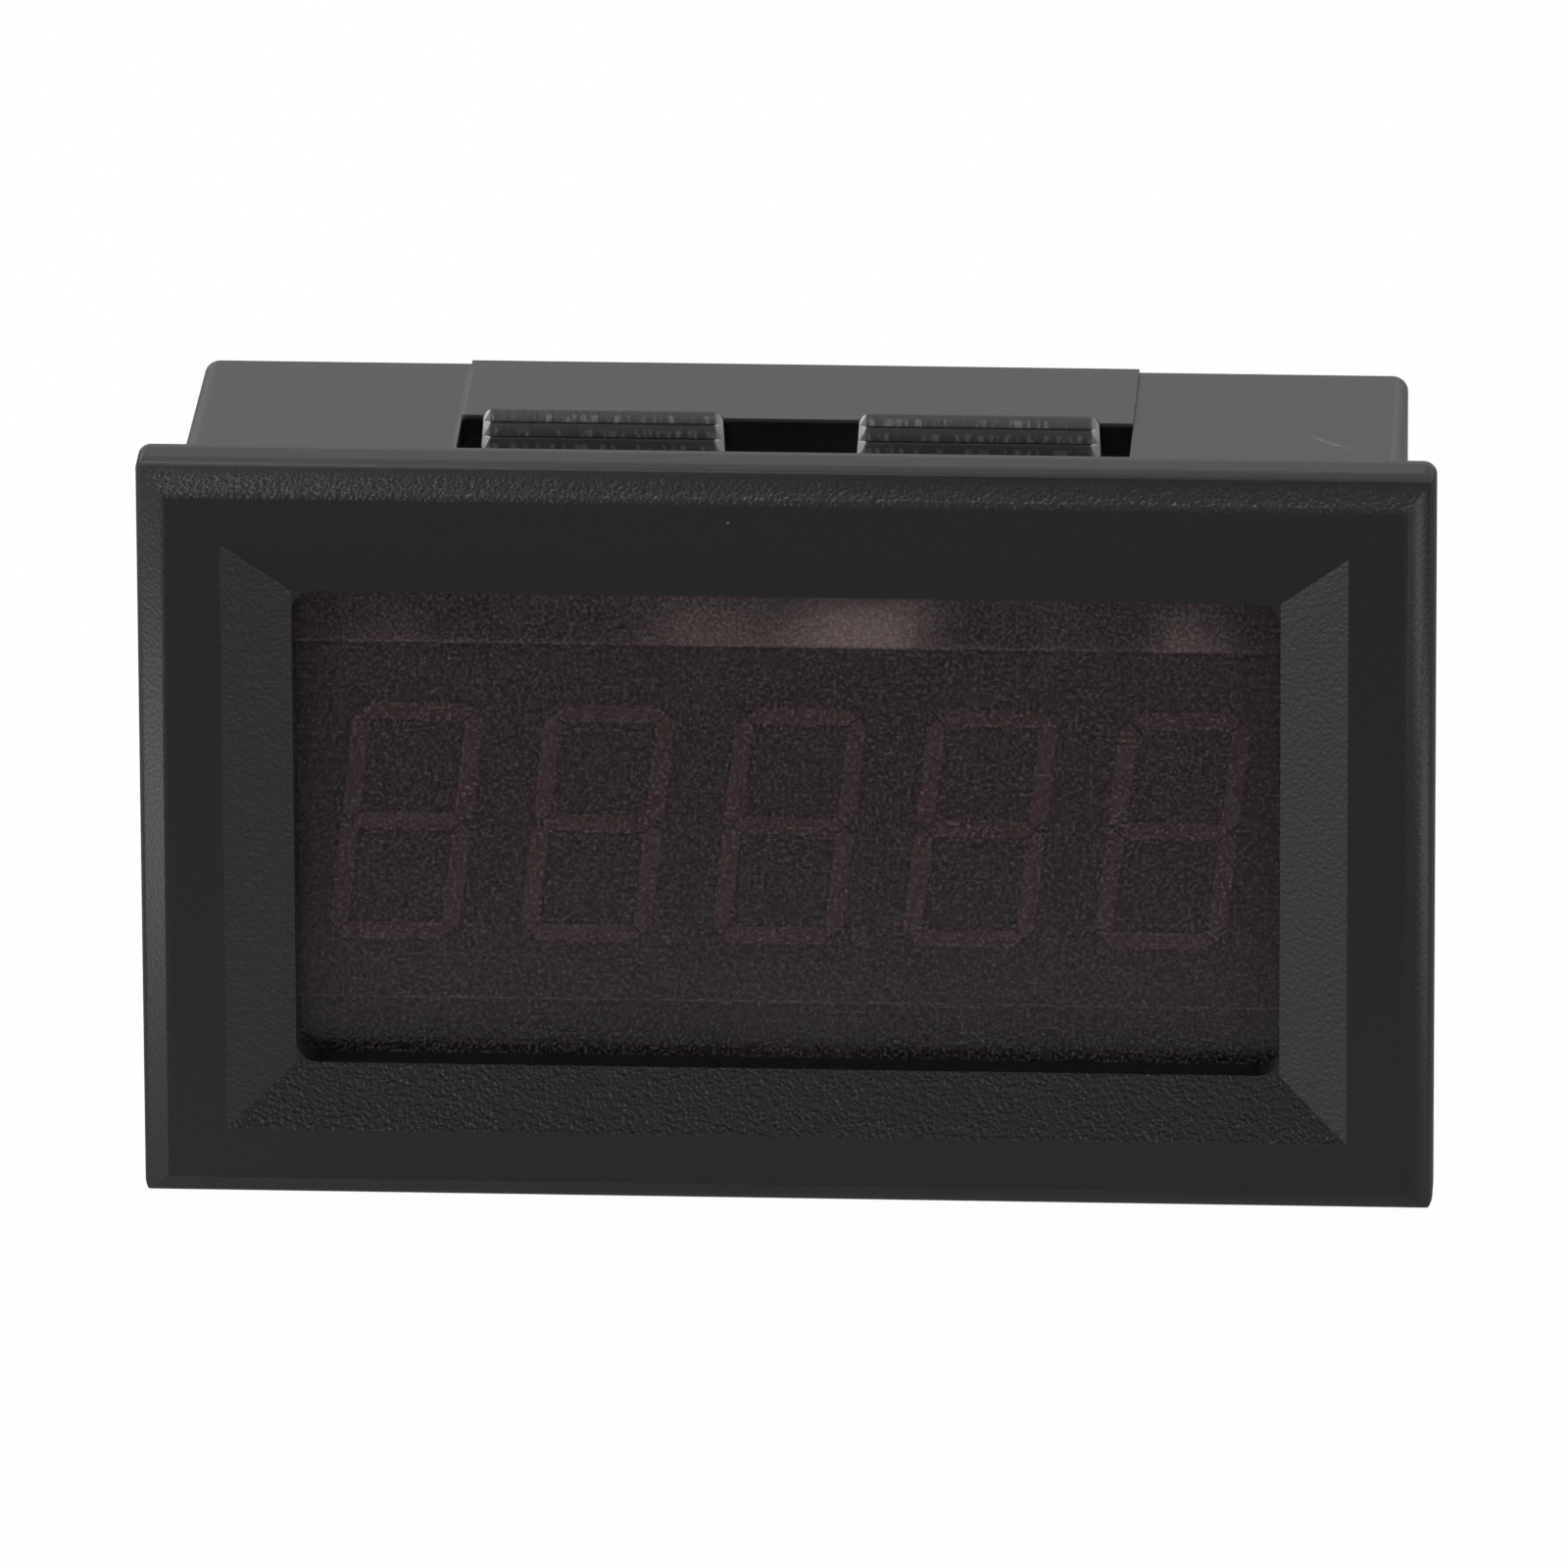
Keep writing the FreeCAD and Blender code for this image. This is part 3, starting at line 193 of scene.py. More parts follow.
# The grain sparkles on the chamfer and the sunken frame, most where they face
# up, and is faint elsewhere. Real grain is about 0.1 mm, too fine to show, so
# it is drawn coarser.
bezel_begins = -0.2
bezel_full = -0.4
grain_begins = -0.95
grain_full = -1.0
top_face_heights = (13.8, 15.0)
top_face_depths = (-2.0, 0.1)
top_face_blur = 0.15
grain_size = 0.15
pit_size = 0.17
grain_height = 0.04
least_grain = 0.05
grain_facing_front = 0.22
grain_full_slope = 0.32
grain = add(tree, "ShaderNodeTexNoise",
            {"Vector": place, "Scale": per_mm(grain_size), "Detail": 1.0, "Roughness": 0.6})
pits = add(tree, "ShaderNodeTexVoronoi", {"Vector": place, "Scale": per_mm(pit_size)})
relief = add(tree, "ShaderNodeMath",
             {0: grain.outputs["Fac"], 1: pits.outputs["Distance"]}, operation="SUBTRACT")
on_bezel = add(tree, "ShaderNodeMapRange",
               {"Value": depth, "From Min": bezel_begins * MM, "From Max": bezel_full * MM})
in_front = add(tree, "ShaderNodeMapRange",
               {"Value": depth, "From Min": grain_begins * MM, "From Max": grain_full * MM})
top_face = product(tree, band(tree, from_middle_z, *top_face_heights, top_face_blur),
                   band(tree, depth, *top_face_depths, top_face_blur))
grained = add(tree, "ShaderNodeMath", {0: in_front.outputs["Result"], 1: top_face},
              operation="SUBTRACT", use_clamp=True)
coarse = add(tree, "ShaderNodeMapRange",
             {"Value": facing.outputs["Z"], "From Max": grain_full_slope,
              "To Min": grain_facing_front, "To Max": 1.0})
textured = add(tree, "ShaderNodeMapRange",
               {"Value": product(tree, grained.outputs["Value"], coarse.outputs["Result"]),
                "To Min": least_grain})

# The lugs' steps are painted grey on their fronts, a painted sheen for the light
# that their rough risers scatter, with pale tears low on each. Their ends are
# painted pale, a painted highlight where light catches them.
lug_depths = (1.2, 6.1)
lug_sides = (2.1, 11.8)
lug_heights = (11.9, 14.2)
lug_end_highlight_band = (4.2, 5.0)
tear_size = 0.24
tear_height = 0.12
tear_share = 0.7
step_crest = 13.89
step_height = 0.47
lug_shift = -0.16
lug_middle = 6.99
on_lug = product(tree, band(tree, depth, *lug_depths), band(tree, from_middle_x, *lug_sides),
                 band(tree, from_middle_z, *lug_heights))
on_riser = add(tree, "ShaderNodeMapRange",
               {"Value": facing.outputs["Y"], "From Min": -0.4, "From Max": -0.6})
drawn_out = add(tree, "ShaderNodeMapping", {"Vector": place, "Scale": (1.0, 0.5, 0.3)})
tears = add(tree, "ShaderNodeTexNoise",
            {"Vector": drawn_out.outputs["Vector"], "Scale": per_mm(tear_size),
             "Detail": 2.0, "Roughness": 0.6})
tear_spots = add(tree, "ShaderNodeMapRange",
                 {"Value": tears.outputs["Fac"], "From Min": 0.5, "From Max": 0.64})
steps_down = add(tree, "ShaderNodeMapRange",
                 {"Value": from_middle_z, "From Min": step_crest * MM,
                  "From Max": (step_crest - step_height) * MM}, clamp=False)
down_step = add(tree, "ShaderNodeMath", {0: steps_down.outputs["Result"]}, operation="FRACT")
lower_half = add(tree, "ShaderNodeMapRange",
                 {"Value": down_step.outputs["Value"], "From Min": 0.3, "From Max": 0.5})
torn = product(tree, tear_spots.outputs["Result"], lower_half.outputs["Result"],
               on_riser.outputs["Result"], tear_share)
between_lugs = add(tree, "ShaderNodeMath", {0: across, 1: lug_shift * MM},
                   operation="SUBTRACT")
either_side = add(tree, "ShaderNodeMath", {0: between_lugs.outputs["Value"]},
                  operation="ABSOLUTE")
past_lug_middle = add(tree, "ShaderNodeMath",
                      {0: either_side.outputs["Value"], 1: lug_middle * MM},
                      operation="SUBTRACT")
from_lug_middle = add(tree, "ShaderNodeMath", {0: past_lug_middle.outputs["Value"]},
                      operation="ABSOLUTE")
# Painted highlight: a pale band at each lug's ends, where light catches them.
lug_end_highlight = band(tree, from_lug_middle.outputs["Value"], *lug_end_highlight_band)
torn_or_end_highlight = add(tree, "ShaderNodeMath", {0: torn, 1: lug_end_highlight}, operation="MAXIMUM")
tears_and_end_highlight = product(tree, on_lug, torn_or_end_highlight.outputs["Value"])
torn_height = product(tree, on_lug, tears.outputs["Fac"])

# Handling left a scuff on the top wall, a nick on the rim and a little dust. The
# left edge of the raised field is painted pale, a painted highlight on its step.
scuff_at = Vector((20.0, 5.8, 13.1)) * MM
scuff_turn = math.radians(-38)
scuff_stretch = (1.6, 0.22, 1.0)
scuff_core = 0.4
scuff_reach = 1.0
scuff_share = 0.6
scratch_size = 0.7
nick_at = Vector((-13.1, -2.7, 10.6)) * MM
nick_squeeze = Vector((0.4, 1.0, 1.0))
nick_core = 0.06
nick_reach = 0.16
dust_pitch = 2.6
dust_share = 0.5
highlight_edge_sides = (-12.64, -12.40)
highlight_edge_heights = (12.9, 14.0)
highlight_edge_depths = (0.2, 13.0)
highlight_edge_fade = 1.0
highlight_edge_share = 0.35
# Painted highlight: the left edge of the raised field is painted pale.
painted_edge_highlight = product(tree, band(tree, across, *highlight_edge_sides),
                      band(tree, from_middle_z, *highlight_edge_heights),
                      band(tree, depth, *highlight_edge_depths, highlight_edge_fade))
along_scuff = add(tree, "ShaderNodeMapping",
                  {"Vector": place, "Location": scuff_at, "Rotation": (0, 0, scuff_turn),
                   "Scale": scuff_stretch}, vector_type="TEXTURE")
from_scuff = add(tree, "ShaderNodeVectorMath",
                 {0: along_scuff.outputs["Vector"]}, operation="LENGTH")
near_scuff = add(tree, "ShaderNodeMapRange",
                 {"Value": from_scuff.outputs["Value"], "From Min": scuff_reach * MM,
                  "From Max": scuff_core * MM})
scratches = add(tree, "ShaderNodeTexNoise",
                {"Vector": along_scuff.outputs["Vector"], "Scale": per_mm(scratch_size),
                 "Detail": 3.0})
scratched = add(tree, "ShaderNodeMapRange",
                {"Value": scratches.outputs["Fac"], "From Min": 0.45, "From Max": 0.6})
scuff = product(tree, near_scuff.outputs["Result"], scratched.outputs["Result"], scuff_share)
along_nick = add(tree, "ShaderNodeMapping",
                 {"Vector": place, "Location": -nick_at * nick_squeeze, "Scale": nick_squeeze})
from_nick = add(tree, "ShaderNodeVectorMath",
                {0: along_nick.outputs["Vector"]}, operation="LENGTH")
nick = add(tree, "ShaderNodeMapRange",
           {"Value": from_nick.outputs["Value"], "From Min": nick_reach * MM,
            "From Max": nick_core * MM})
dust_spots = add(tree, "ShaderNodeTexVoronoi", {"Vector": place, "Scale": per_mm(dust_pitch)})
dust = add(tree, "ShaderNodeMapRange",
           {"Value": dust_spots.outputs["Distance"], "From Min": 0.022, "From Max": 0.012,
            "To Max": dust_share})
wear_and_edge_highlight = scuff
for mark in (nick.outputs["Result"], dust.outputs["Result"],
             product(tree, painted_edge_highlight, highlight_edge_share)):
    wear_and_edge_highlight = add(tree, "ShaderNodeMath", {0: wear_and_edge_highlight, 1: mark},
                  operation="MAXIMUM").outputs["Value"]

# Each layer of wear and painted light lies over the one before it.
moulded_black = linear("#1b1a19")
# Painted light: a grey for the lugs' risers, and a pale for the tears and the painted highlights
# at the lugs' ends.
riser_painted_grey = linear("#807e7c")
tear_and_highlight_white = linear("#cfcdcb")
# A grey for the scuff, the nick and the dust, also used for the painted highlight on the field's
# edge.
wear_and_highlight_grey = linear("#868482")
# Painted light: the lugs' risers are painted grey.
painted_riser_tone = add(tree, "ShaderNodeMix",
                    {SHARE: product(tree, on_lug, on_riser.outputs["Result"]),
                     UNDER: moulded_black, OVER: riser_painted_grey}, data_type="RGBA")
tears_and_end_highlight_tone = add(tree, "ShaderNodeMix",
                {SHARE: tears_and_end_highlight, UNDER: painted_riser_tone.outputs[MIXED], OVER: tear_and_highlight_white},
                data_type="RGBA")
wear_and_highlight_tone = add(tree, "ShaderNodeMix",
                   {SHARE: wear_and_edge_highlight, UNDER: tears_and_end_highlight_tone.outputs[MIXED], OVER: wear_and_highlight_grey},
                   data_type="RGBA")
tree.links.new(wear_and_highlight_tone.outputs[MIXED], surface.inputs["Base Color"])
roughened = add(tree, "ShaderNodeMath", {0: on_lug, 1: wear_and_edge_highlight}, operation="MAXIMUM")
moulded_roughness = add(tree, "ShaderNodeMapRange",
                        {"Value": on_bezel.outputs["Result"], "To Min": tube_roughness,
                         "To Max": bezel_roughness})
roughness = add(tree, "ShaderNodeMapRange",
                {"Value": roughened.outputs["Value"],
                 "To Min": moulded_roughness.outputs["Result"], "To Max": handled_roughness})
tree.links.new(roughness.outputs["Result"], surface.inputs["Roughness"])
moulded_relief = add(tree, "ShaderNodeBump",
                     {"Strength": textured.outputs["Result"], "Distance": grain_height * MM,
                      "Height": relief.outputs["Value"]})
torn_relief = add(tree, "ShaderNodeBump",
                  {"Strength": 0.9, "Distance": tear_height * MM, "Height": torn_height,
                   "Normal": moulded_relief.outputs["Normal"]})
tree.links.new(torn_relief.outputs["Normal"], surface.inputs["Normal"])

case = smooth_copy("case", "moulded_case", "meter")
case.data.materials.clear()
case.data.materials.append(abs_black)


# Filter: a plate of smoked red acrylic, matted on the front against glare and
# pressed into the case from behind. Unlit digits barely show through it.

# The matting veils the display in a fine sparkle. Its real size is about
# 0.02 mm, too fine to show, so it is drawn coarser.
frost_size = 0.13
frost_height = 0.02
acrylic, tree, surface, place = new_finish(
    "matted_smoked_acrylic", Roughness=0.2, IOR=1.49)
frost = add(tree, "ShaderNodeTexNoise",
            {"Vector": place, "Scale": per_mm(frost_size), "Detail": 2.0, "Roughness": 0.7})
hazy = add(tree, "ShaderNodeMapRange",
           {"Value": frost.outputs["Fac"], "From Min": 0.46, "From Max": 0.72})
clear = add(tree, "ShaderNodeMapRange",
            {"Value": hazy.outputs["Result"], "To Min": 0.99, "To Max": 0.82})
tree.links.new(clear.outputs["Result"], surface.inputs["Transmission Weight"])
smoke = add(tree, "ShaderNodeMix",
            {SHARE: hazy.outputs["Result"], UNDER: linear("#806b6d"), OVER: linear("#a8a6a8")},
            data_type="RGBA")
tree.links.new(smoke.outputs[MIXED], surface.inputs["Base Color"])
matting = add(tree, "ShaderNodeBump",
              {"Strength": 0.6, "Distance": frost_height * MM, "Height": frost.outputs["Fac"]})
tree.links.new(matting.outputs["Normal"], surface.inputs["Normal"])
give(acrylic, "filter")


# Display: a pale moulded shell with its face printed dark, so that unlit
# segments don't show, and seven resin-filled light windows to each digit.

# The pale sides catch the light from the slot, and the print swallows it.
print_reach = 0.95
shell, tree, surface, place = new_finish(
    "moulded_shell_printed_face", Roughness=0.45, IOR=1.5)
spot = add(tree, "ShaderNodeSeparateXYZ", {"Vector": place})
printed = add(tree, "ShaderNodeMath",
              {0: spot.outputs["Y"], 1: print_reach * MM}, operation="LESS_THAN")
colour = add(tree, "ShaderNodeMix",
             {SHARE: printed.outputs["Value"], UNDER: linear("#dcd6d2"), OVER: linear("#383638")},
             data_type="RGBA")
tree.links.new(colour.outputs[MIXED], surface.inputs["Base Color"])
give(shell, "display_housing")

# The milky resin is a shade paler than the print, so a bar shows faintly. The
# points' resin is painted darker, a painted shade for their narrow wells.
bar_resin, *_ = new_finish(
    "diffusing_epoxy_resin", Base_Color=linear("#a28a8a"), Roughness=0.4, IOR=1.53)
give(bar_resin, "digit_1_segments", "digit_2_segments", "digit_3_segments",
     "digit_4_segments", "digit_5_segments")
# Painted shade: the points' resin is darker for their narrow wells.
point_resin_painted_shade, *_ = new_finish(
    "diffusing_epoxy_painted_shade", Base_Color=linear("#5e5152"), Roughness=0.4, IOR=1.53)
give(point_resin_painted_shade, "decimal_points")


# Display pins: fourteen square posts of tinned brass, which run from the
# display through the circuit board and are soldered behind it. The chips' legs
# and the header's pins are tinned in the same way.

# The plating is a soft, bright grey with dull patches.
patch_size = 0.35
tinned, tree, surface, place = new_finish(
    "tinned_metal", Base_Color=linear("#c9c7c1"), Metallic=1.0)
patches = add(tree, "ShaderNodeTexNoise",
              {"Vector": place, "Scale": per_mm(patch_size), "Detail": 3.0})
satin = add(tree, "ShaderNodeMapRange",
            {"Value": patches.outputs["Fac"], "To Min": 0.24, "To Max": 0.42})
tree.links.new(satin.outputs["Result"], surface.inputs["Roughness"])
give(tinned, "display_pins", "controller_legs", "converter_legs", "regulator_legs",
     "diode_tabs", "chip_end_caps", "trimmer_legs", "header_pins")


# Circuit board: glass-fibre laminate under a green solder mask. The mask looks
# paler and stands higher over copper, and the weave shows faintly. The cut edge
# is bare laminate.

trace_pitch = 2.6
weave_pitch = 1.3
copper_height = 0.035
weave_height = 0.01
mask_thickness = 0.04
mask_green, tree, surface, place = new_finish(
    "solder_mask_on_laminate", Roughness=0.3, IOR=1.52)
spot = add(tree, "ShaderNodeSeparateXYZ", {"Vector": place})
flat = add(tree, "ShaderNodeCombineXYZ", {"X": spot.outputs["X"], "Y": spot.outputs["Z"]})
nearest = add(tree, "ShaderNodeTexVoronoi",
              {"Vector": flat.outputs["Vector"], "Scale": per_mm(trace_pitch)},
              voronoi_dimensions="2D", distance="CHEBYCHEV")
second = add(tree, "ShaderNodeTexVoronoi",
             {"Vector": flat.outputs["Vector"], "Scale": per_mm(trace_pitch)},
             voronoi_dimensions="2D", distance="CHEBYCHEV", feature="F2")
apart = add(tree, "ShaderNodeMath",
            {0: second.outputs["Distance"], 1: nearest.outputs["Distance"]},
            operation="SUBTRACT")
copper = add(tree, "ShaderNodeMapRange",
             {"Value": apart.outputs["Value"], "From Min": 0.06, "From Max": 0.08})
weft = add(tree, "ShaderNodeTexWave",
           {"Vector": place, "Scale": per_mm(weave_pitch), "Distortion": 0.4},
           bands_direction="X")
warp = add(tree, "ShaderNodeTexWave",
           {"Vector": place, "Scale": per_mm(weave_pitch), "Distortion": 0.4},
           bands_direction="Z")
cloth = product(tree, weft.outputs["Fac"], warp.outputs["Fac"])
bare = add(tree, "ShaderNodeMix",
           {SHARE: cloth, UNDER: linear("#14452a"), OVER: linear("#1b5232")}, data_type="RGBA")
mask = add(tree, "ShaderNodeMix",
           {SHARE: copper.outputs["Result"], UNDER: bare.outputs[MIXED], OVER: linear("#205c36")},
           data_type="RGBA")
board_low, board_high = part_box("main_board")
inside = band(tree, spot.outputs["Y"], board_low.y / MM + mask_thickness,
              board_high.y / MM - mask_thickness, 0.005)
laminate = add(tree, "ShaderNodeMix",
               {SHARE: inside, UNDER: mask.outputs[MIXED], OVER: linear("#8f8a4c")},
               data_type="RGBA")
tree.links.new(laminate.outputs[MIXED], surface.inputs["Base Color"])
raised = add(tree, "ShaderNodeBump",
             {"Strength": 0.5, "Distance": copper_height * MM,
              "Height": copper.outputs["Result"]})
woven = add(tree, "ShaderNodeBump",
            {"Strength": 0.15, "Distance": weave_height * MM, "Height": cloth,
             "Normal": raised.outputs["Normal"]})
tree.links.new(woven.outputs["Normal"], surface.inputs["Normal"])
give(mask_green, "main_board")


# Solder joints: bright cones that wicked up round each pin, duller where the
# alloy froze last.

crystal_size = 0.5
ripple_height = 0.03
solder, tree, surface, place = new_finish(
    "frozen_solder", Base_Color=linear("#cfd0ce"), Metallic=1.0)
frozen = add(tree, "ShaderNodeTexNoise",
             {"Vector": place, "Scale": per_mm(crystal_size), "Detail": 4.0})
satin = add(tree, "ShaderNodeMapRange",
            {"Value": frozen.outputs["Fac"], "To Min": 0.12, "To Max": 0.4})
tree.links.new(satin.outputs["Result"], surface.inputs["Roughness"])
ripple = add(tree, "ShaderNodeBump",
             {"Strength": 0.2, "Distance": ripple_height * MM, "Height": frozen.outputs["Fac"]})
tree.links.new(ripple.outputs["Normal"], surface.inputs["Normal"])
joints = smooth_copy("solder_joints", "soldered_joints", "meter")
joints.data.materials.clear()
joints.data.materials.append(solder)


# Chips: the controller, the converter, the regulator and the reverse diode,
# each transfer-moulded in black epoxy, matt from its filler. The controller and
# the converter have a dot at their first pin.

filler_size = 0.08
filler_height = 0.01
dot_inset = 0.75
dot_radius = 0.24
dot_blur = 0.04
epoxy, tree, surface, place = new_finish(
    "filled_moulding_epoxy", Roughness=0.6, IOR=1.55)
filler = add(tree, "ShaderNodeTexNoise",
             {"Vector": place, "Scale": per_mm(filler_size), "Detail": 3.0})
tone = add(tree, "ShaderNodeMix",
           {SHARE: filler.outputs["Fac"], UNDER: linear("#1c1c1e"), OVER: linear("#343436")},
           data_type="RGBA")
for chip in ("controller_chip", "converter_chip"):
    chip_low, chip_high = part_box(chip)
    corner = (chip_low.x + dot_inset * MM, chip_high.y, chip_low.z + dot_inset * MM)
    from_corner = add(tree, "ShaderNodeVectorMath", {0: place, 1: corner},
                      operation="DISTANCE")
    dot = add(tree, "ShaderNodeMapRange",
              {"Value": from_corner.outputs["Value"],
               "From Min": (dot_radius + dot_blur) * MM, "From Max": dot_radius * MM})
    tone = add(tree, "ShaderNodeMix",
               {SHARE: dot.outputs["Result"], UNDER: tone.outputs[MIXED], OVER: linear("#6a6a6c")},
               data_type="RGBA")
tree.links.new(tone.outputs[MIXED], surface.inputs["Base Color"])
pitted = add(tree, "ShaderNodeBump",
             {"Strength": 0.3, "Distance": filler_height * MM, "Height": filler.outputs["Fac"]})
tree.links.new(pitted.outputs["Normal"], surface.inputs["Normal"])
give(epoxy, "controller_chip", "converter_chip", "voltage_regulator", "reverse_diode")


# Input capacitor: an aluminium can, sleeveless, with its minus side printed
# dark on top, crimped on a black heat-proof base.

# Glass fibre in the plastic leaves the base faintly rough.
fibre_size = 0.12
fibre_height = 0.01
base_plastic, tree, surface, place = new_finish(
    "moulded_polyphenylene_base", Base_Color=linear("#1e1d1c"), Roughness=0.45, IOR=1.6)
fibres = add(tree, "ShaderNodeTexNoise",
             {"Vector": place, "Scale": per_mm(fibre_size), "Detail": 2.0})
fibrous = add(tree, "ShaderNodeBump",
              {"Strength": 0.2, "Distance": fibre_height * MM, "Height": fibres.outputs["Fac"]})
tree.links.new(fibrous.outputs["Normal"], surface.inputs["Normal"])
give(base_plastic, "capacitor_base")

# The can is bright, with fine lines along it from the drawing die.
print_thickness = 0.12
minus_edge = 1.2
line_width = 0.15
line_height = 0.01
drawn, tree, surface, place = new_finish(
    "deep_drawn_aluminium", Metallic=1.0, Roughness=0.3)
can_low, can_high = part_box("capacitor_can")
can_middle = (can_low + can_high) / 2
spot = add(tree, "ShaderNodeSeparateXYZ", {"Vector": place})
on_top = add(tree, "ShaderNodeMath",
             {0: spot.outputs["Y"], 1: can_high.y - print_thickness * MM},
             operation="GREATER_THAN")
minus_side = add(tree, "ShaderNodeMath",
                 {0: spot.outputs["X"], 1: can_middle.x - minus_edge * MM},
                 operation="LESS_THAN")
lacquer = add(tree, "ShaderNodeMix",
              {SHARE: product(tree, on_top.outputs["Value"], minus_side.outputs["Value"]),
               UNDER: linear("#d4d5d6"), OVER: linear("#232326")}, data_type="RGBA")
tree.links.new(lacquer.outputs[MIXED], surface.inputs["Base Color"])
along_can = add(tree, "ShaderNodeMapping", {"Vector": place, "Scale": (1.0, 0.06, 1.0)})
lines = add(tree, "ShaderNodeTexNoise",
            {"Vector": along_can.outputs["Vector"], "Scale": per_mm(line_width),
             "Detail": 2.0})
lined = add(tree, "ShaderNodeBump",
            {"Strength": 0.15, "Distance": line_height * MM, "Height": lines.outputs["Fac"]})
tree.links.new(lined.outputs["Normal"], surface.inputs["Normal"])
give(drawn, "capacitor_can")


# Chip resistors and chip capacitors: resistors are white alumina with a black
# glazed film on top, and capacitors are fired layers of tan ceramic.

film_reach = 0.06
alumina, tree, surface, place = new_finish(
    "alumina_with_resistor_film", Roughness=0.4, IOR=1.6)
spot = add(tree, "ShaderNodeSeparateXYZ", {"Vector": place})
film_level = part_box("chip_resistors")[1].y - film_reach * MM
film = add(tree, "ShaderNodeMath", {0: spot.outputs["Y"], 1: film_level},
           operation="GREATER_THAN")
glazed = add(tree, "ShaderNodeMix",
             {SHARE: film.outputs["Value"], UNDER: linear("#dedbd3"), OVER: linear("#1d1d21")},
             data_type="RGBA")
tree.links.new(glazed.outputs[MIXED], surface.inputs["Base Color"])
give(alumina, "chip_resistors")

# Firing leaves the tan ceramic a little blotched.
blotch_size = 0.6
fired, tree, surface, place = new_finish(
    "fired_barium_titanate", Roughness=0.45, IOR=1.6)
blotches = add(tree, "ShaderNodeTexNoise",
               {"Vector": place, "Scale": per_mm(blotch_size), "Detail": 3.0})
tan = add(tree, "ShaderNodeMix",
          {SHARE: blotches.outputs["Fac"], UNDER: linear("#9c7a52"), OVER: linear("#bd9a6e")},
          data_type="RGBA")
tree.links.new(tan.outputs[MIXED], surface.inputs["Base Color"])
give(fired, "chip_capacitors")


# Calibration trimmer: a blue thermoset body with a slotted brass rotor, which
# a small screwdriver turns.

# The body's blue is faintly mottled, as filled thermoset is.
mottle_size = 0.4
thermoset, tree, surface, place = new_finish(
    "moulded_blue_thermoset", Roughness=0.4, IOR=1.55)
mottle = add(tree, "ShaderNodeTexNoise",
             {"Vector": place, "Scale": per_mm(mottle_size), "Detail": 3.0})
blue = add(tree, "ShaderNodeMix",
           {SHARE: mottle.outputs["Fac"], UNDER: linear("#17468f"), OVER: linear("#1f55a6")},
           data_type="RGBA")
tree.links.new(blue.outputs[MIXED], surface.inputs["Base Color"])
give(thermoset, "trimmer_body")

# Stamping leaves the brass bright with satin patches.
stamp_size = 0.25
brass, tree, surface, place = new_finish(
    "stamped_brass", Base_Color=linear("#d9b36a"), Metallic=1.0)
stamped = add(tree, "ShaderNodeTexNoise",
              {"Vector": place, "Scale": per_mm(stamp_size), "Detail": 3.0})
satin = add(tree, "ShaderNodeMapRange",
            {"Value": stamped.outputs["Fac"], "To Min": 0.2, "To Max": 0.45})
tree.links.new(satin.outputs["Result"], surface.inputs["Roughness"])
give(brass, "trimmer_rotor")


# Lead header: a white nylon shroud, waxy and slightly see-through, round three
# tinned pins.

glow_depth = 0.8
flow_size = 0.5
flow_height = 0.02
nylon, tree, surface, place = new_finish(
    "moulded_white_nylon", Base_Color=linear("#e4e0d4"), Roughness=0.42, IOR=1.53,
    Subsurface_Weight=0.3, Subsurface_Scale=glow_depth * MM)
flow = add(tree, "ShaderNodeTexNoise",
           {"Vector": place, "Scale": per_mm(flow_size), "Detail": 2.0})
skin = add(tree, "ShaderNodeBump",
           {"Strength": 0.1, "Distance": flow_height * MM, "Height": flow.outputs["Fac"]})
tree.links.new(skin.outputs["Normal"], surface.inputs["Normal"])
give(nylon, "header_shell")


# Stage: a white floor, two soft boxes above the meter and slightly behind it, a
# long panel low at each side and a faint one high in front. Places and widths
# are in metres and powers in watts.

floor_level = cad_box[0].z
bpy.ops.mesh.primitive_plane_add(size=4.0, location=(0, 0, floor_level))
floor = bpy.context.active_object
floor.name = "floor"

# The paper looks plain white and takes a faint shadow. In the case's gloss it
# is bright behind the meter and dark in front, as a sweep lit from behind is.
glow_share = 0.98
glow_in_front = 0.05
glow_behind = 0.32
front_ends = -0.045
rear_begins = -0.005
white_paper, tree, surface, place = new_finish(
    "white_paper_floor", Base_Color=linear("#e8e8e8"), Roughness=0.9)
rays = add(tree, "ShaderNodeLightPath")
straight = add(tree, "ShaderNodeMath",
               {0: rays.outputs["Is Camera Ray"], 1: rays.outputs["Is Transmission Ray"]},
               operation="MAXIMUM")
seen = add(tree, "ShaderNodeMath",
           {0: straight.outputs["Value"], 1: rays.outputs["Is Glossy Ray"]},
           operation="MAXIMUM")
spot = add(tree, "ShaderNodeSeparateXYZ", {"Vector": place})
lit_from_behind = add(tree, "ShaderNodeMapRange",
                      {"Value": spot.outputs["Y"], "From Min": front_ends,
                       "From Max": rear_begins, "To Min": glow_in_front,
                       "To Max": glow_behind}, interpolation_type="SMOOTHSTEP")
level = add(tree, "ShaderNodeMath",
            {0: straight.outputs["Value"], 1: lit_from_behind.outputs["Result"]},
            operation="MAXIMUM")
glow = add(tree, "ShaderNodeEmission",
           {"Color": linear("#ffffff"), "Strength": level.outputs["Value"]})
paper = add(tree, "ShaderNodeMixShader",
            {0: product(tree, seen.outputs["Value"], glow_share),
             1: surface.outputs["BSDF"], 2: glow.outputs["Emission"]})
output = next(node for node in tree.nodes if node.type == "OUTPUT_MATERIAL")
tree.links.new(paper.outputs["Shader"], output.inputs["Surface"])
floor.data.materials.append(white_paper)

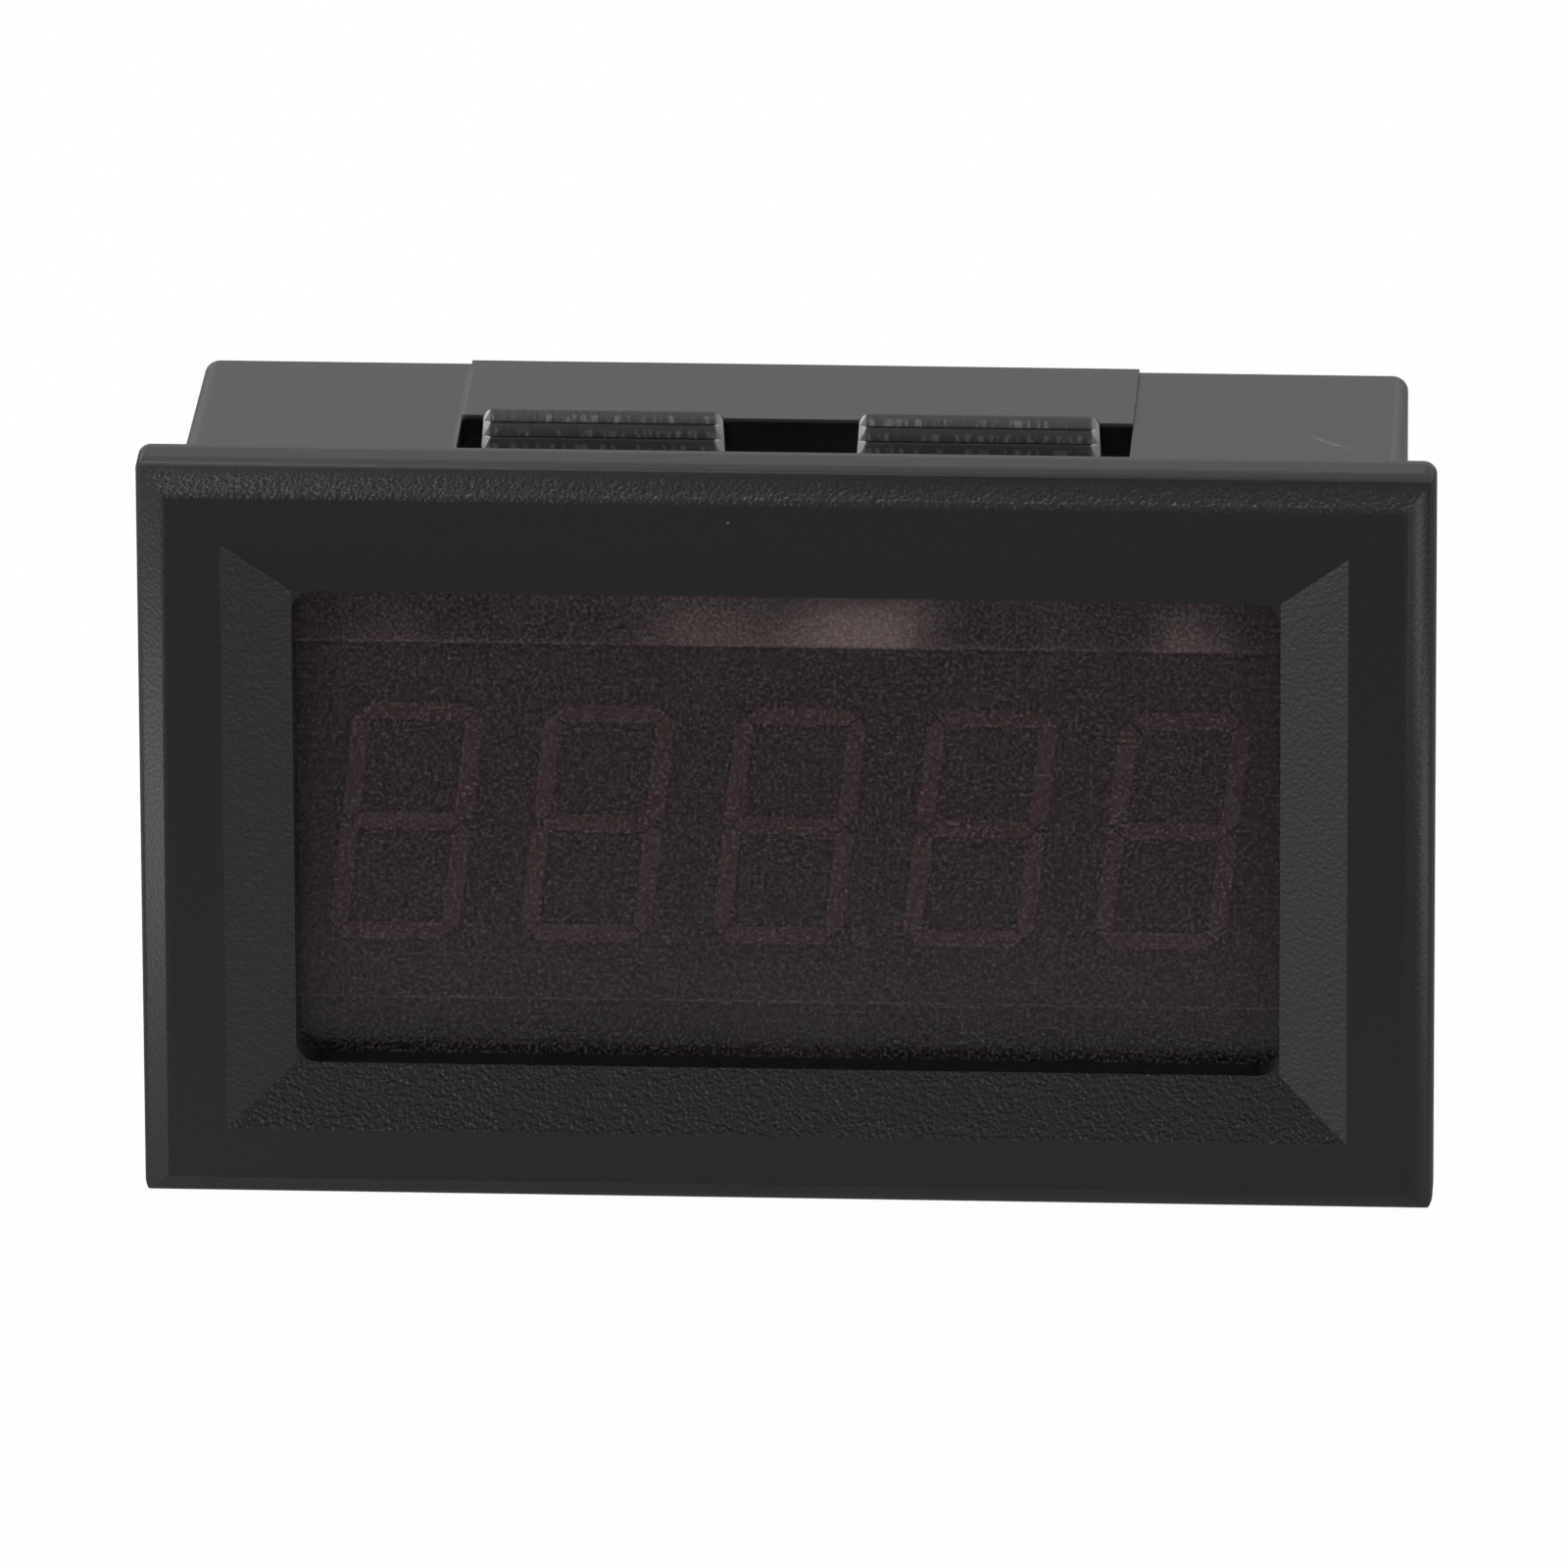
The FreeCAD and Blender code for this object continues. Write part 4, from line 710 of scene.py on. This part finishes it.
# The room is white behind the meter, and darker in front and overhead.
wall_in_front = 0.13
wall_behind = 0.82
ceiling_share = 0.2
world = bpy.data.worlds.new("white_room")
bpy.context.scene.world = world
world.use_nodes = True
tree = world.node_tree
tree.nodes.clear()
rays = add(tree, "ShaderNodeLightPath")
towards = add(tree, "ShaderNodeTexCoord").outputs["Generated"]
axis = add(tree, "ShaderNodeSeparateXYZ", {"Vector": towards})
white_wall = add(tree, "ShaderNodeMapRange",
                 {"Value": axis.outputs["Y"], "From Min": -0.1, "From Max": 0.5,
                  "To Min": wall_in_front, "To Max": wall_behind})
dark_ceiling = add(tree, "ShaderNodeMapRange",
                   {"Value": axis.outputs["Z"], "From Min": 0.5, "From Max": 0.85,
                    "To Min": 1.0, "To Max": ceiling_share})
room = product(tree, white_wall.outputs["Result"], dark_ceiling.outputs["Result"])
straight = add(tree, "ShaderNodeMath",
               {0: rays.outputs["Is Camera Ray"], 1: rays.outputs["Is Transmission Ray"]},
               operation="MAXIMUM")
strength = add(tree, "ShaderNodeMath", {0: straight.outputs["Value"], 1: room},
               operation="MAXIMUM")
sky = add(tree, "ShaderNodeBackground",
          {"Color": linear("#ffffff"), "Strength": strength.outputs["Value"]})
add(tree, "ShaderNodeOutputWorld", {"Surface": sky.outputs["Background"]})


def add_lamp(name, at, width, height, power):
    data = bpy.data.lights.new(name, "AREA")
    data.shape = "RECTANGLE"
    data.size = width
    data.size_y = height
    data.energy = power
    lamp = bpy.data.objects.new(name, data)
    bpy.context.scene.collection.objects.link(lamp)
    lamp.location = at
    lamp.rotation_euler = (-Vector(at)).to_track_quat("-Z", "Y").to_euler()


add_lamp("soft_box_left", (-0.32, 0.18, 0.60), 0.26, 0.26, 2.9)
add_lamp("soft_box_right", (0.32, 0.18, 0.60), 0.26, 0.26, 1.15)
add_lamp("panel_left", (-0.72, -0.50, 0.07), 0.50, 0.14, 4.3)
add_lamp("panel_right", (0.72, -0.50, 0.07), 0.50, 0.14, 2.6)
add_lamp("panel_front", (-0.12, -0.75, 0.60), 0.30, 0.30, 0.35)


# Camera: a long lens, from the front and a little above and to the right. Its
# angles, distance and aim were fitted to the edges of the bezel and the body.

turn = math.radians(3.065)
pitch = math.radians(20.525)
roll = math.radians(-0.257)
distance = 906.93 * MM
aim = (-0.158 * MM, 1.342 * MM)
focal_length = 561.285
sensor_width = 36.0

lens = bpy.data.cameras.new("camera")
lens.lens = focal_length
lens.sensor_width = sensor_width
lens.clip_start = 10 * MM
camera = bpy.data.objects.new("camera", lens)
bpy.context.scene.collection.objects.link(camera)
stand = (Matrix.Rotation(turn, 4, "Z")
         @ Matrix.Rotation(math.radians(90) - pitch, 4, "X"))
camera.matrix_world = (Matrix.Translation(stand @ Vector((*aim, distance)))
                       @ stand @ Matrix.Rotation(roll, 4, "Z"))
bpy.context.scene.camera = camera

bpy.context.scene.view_settings.view_transform = "Standard"
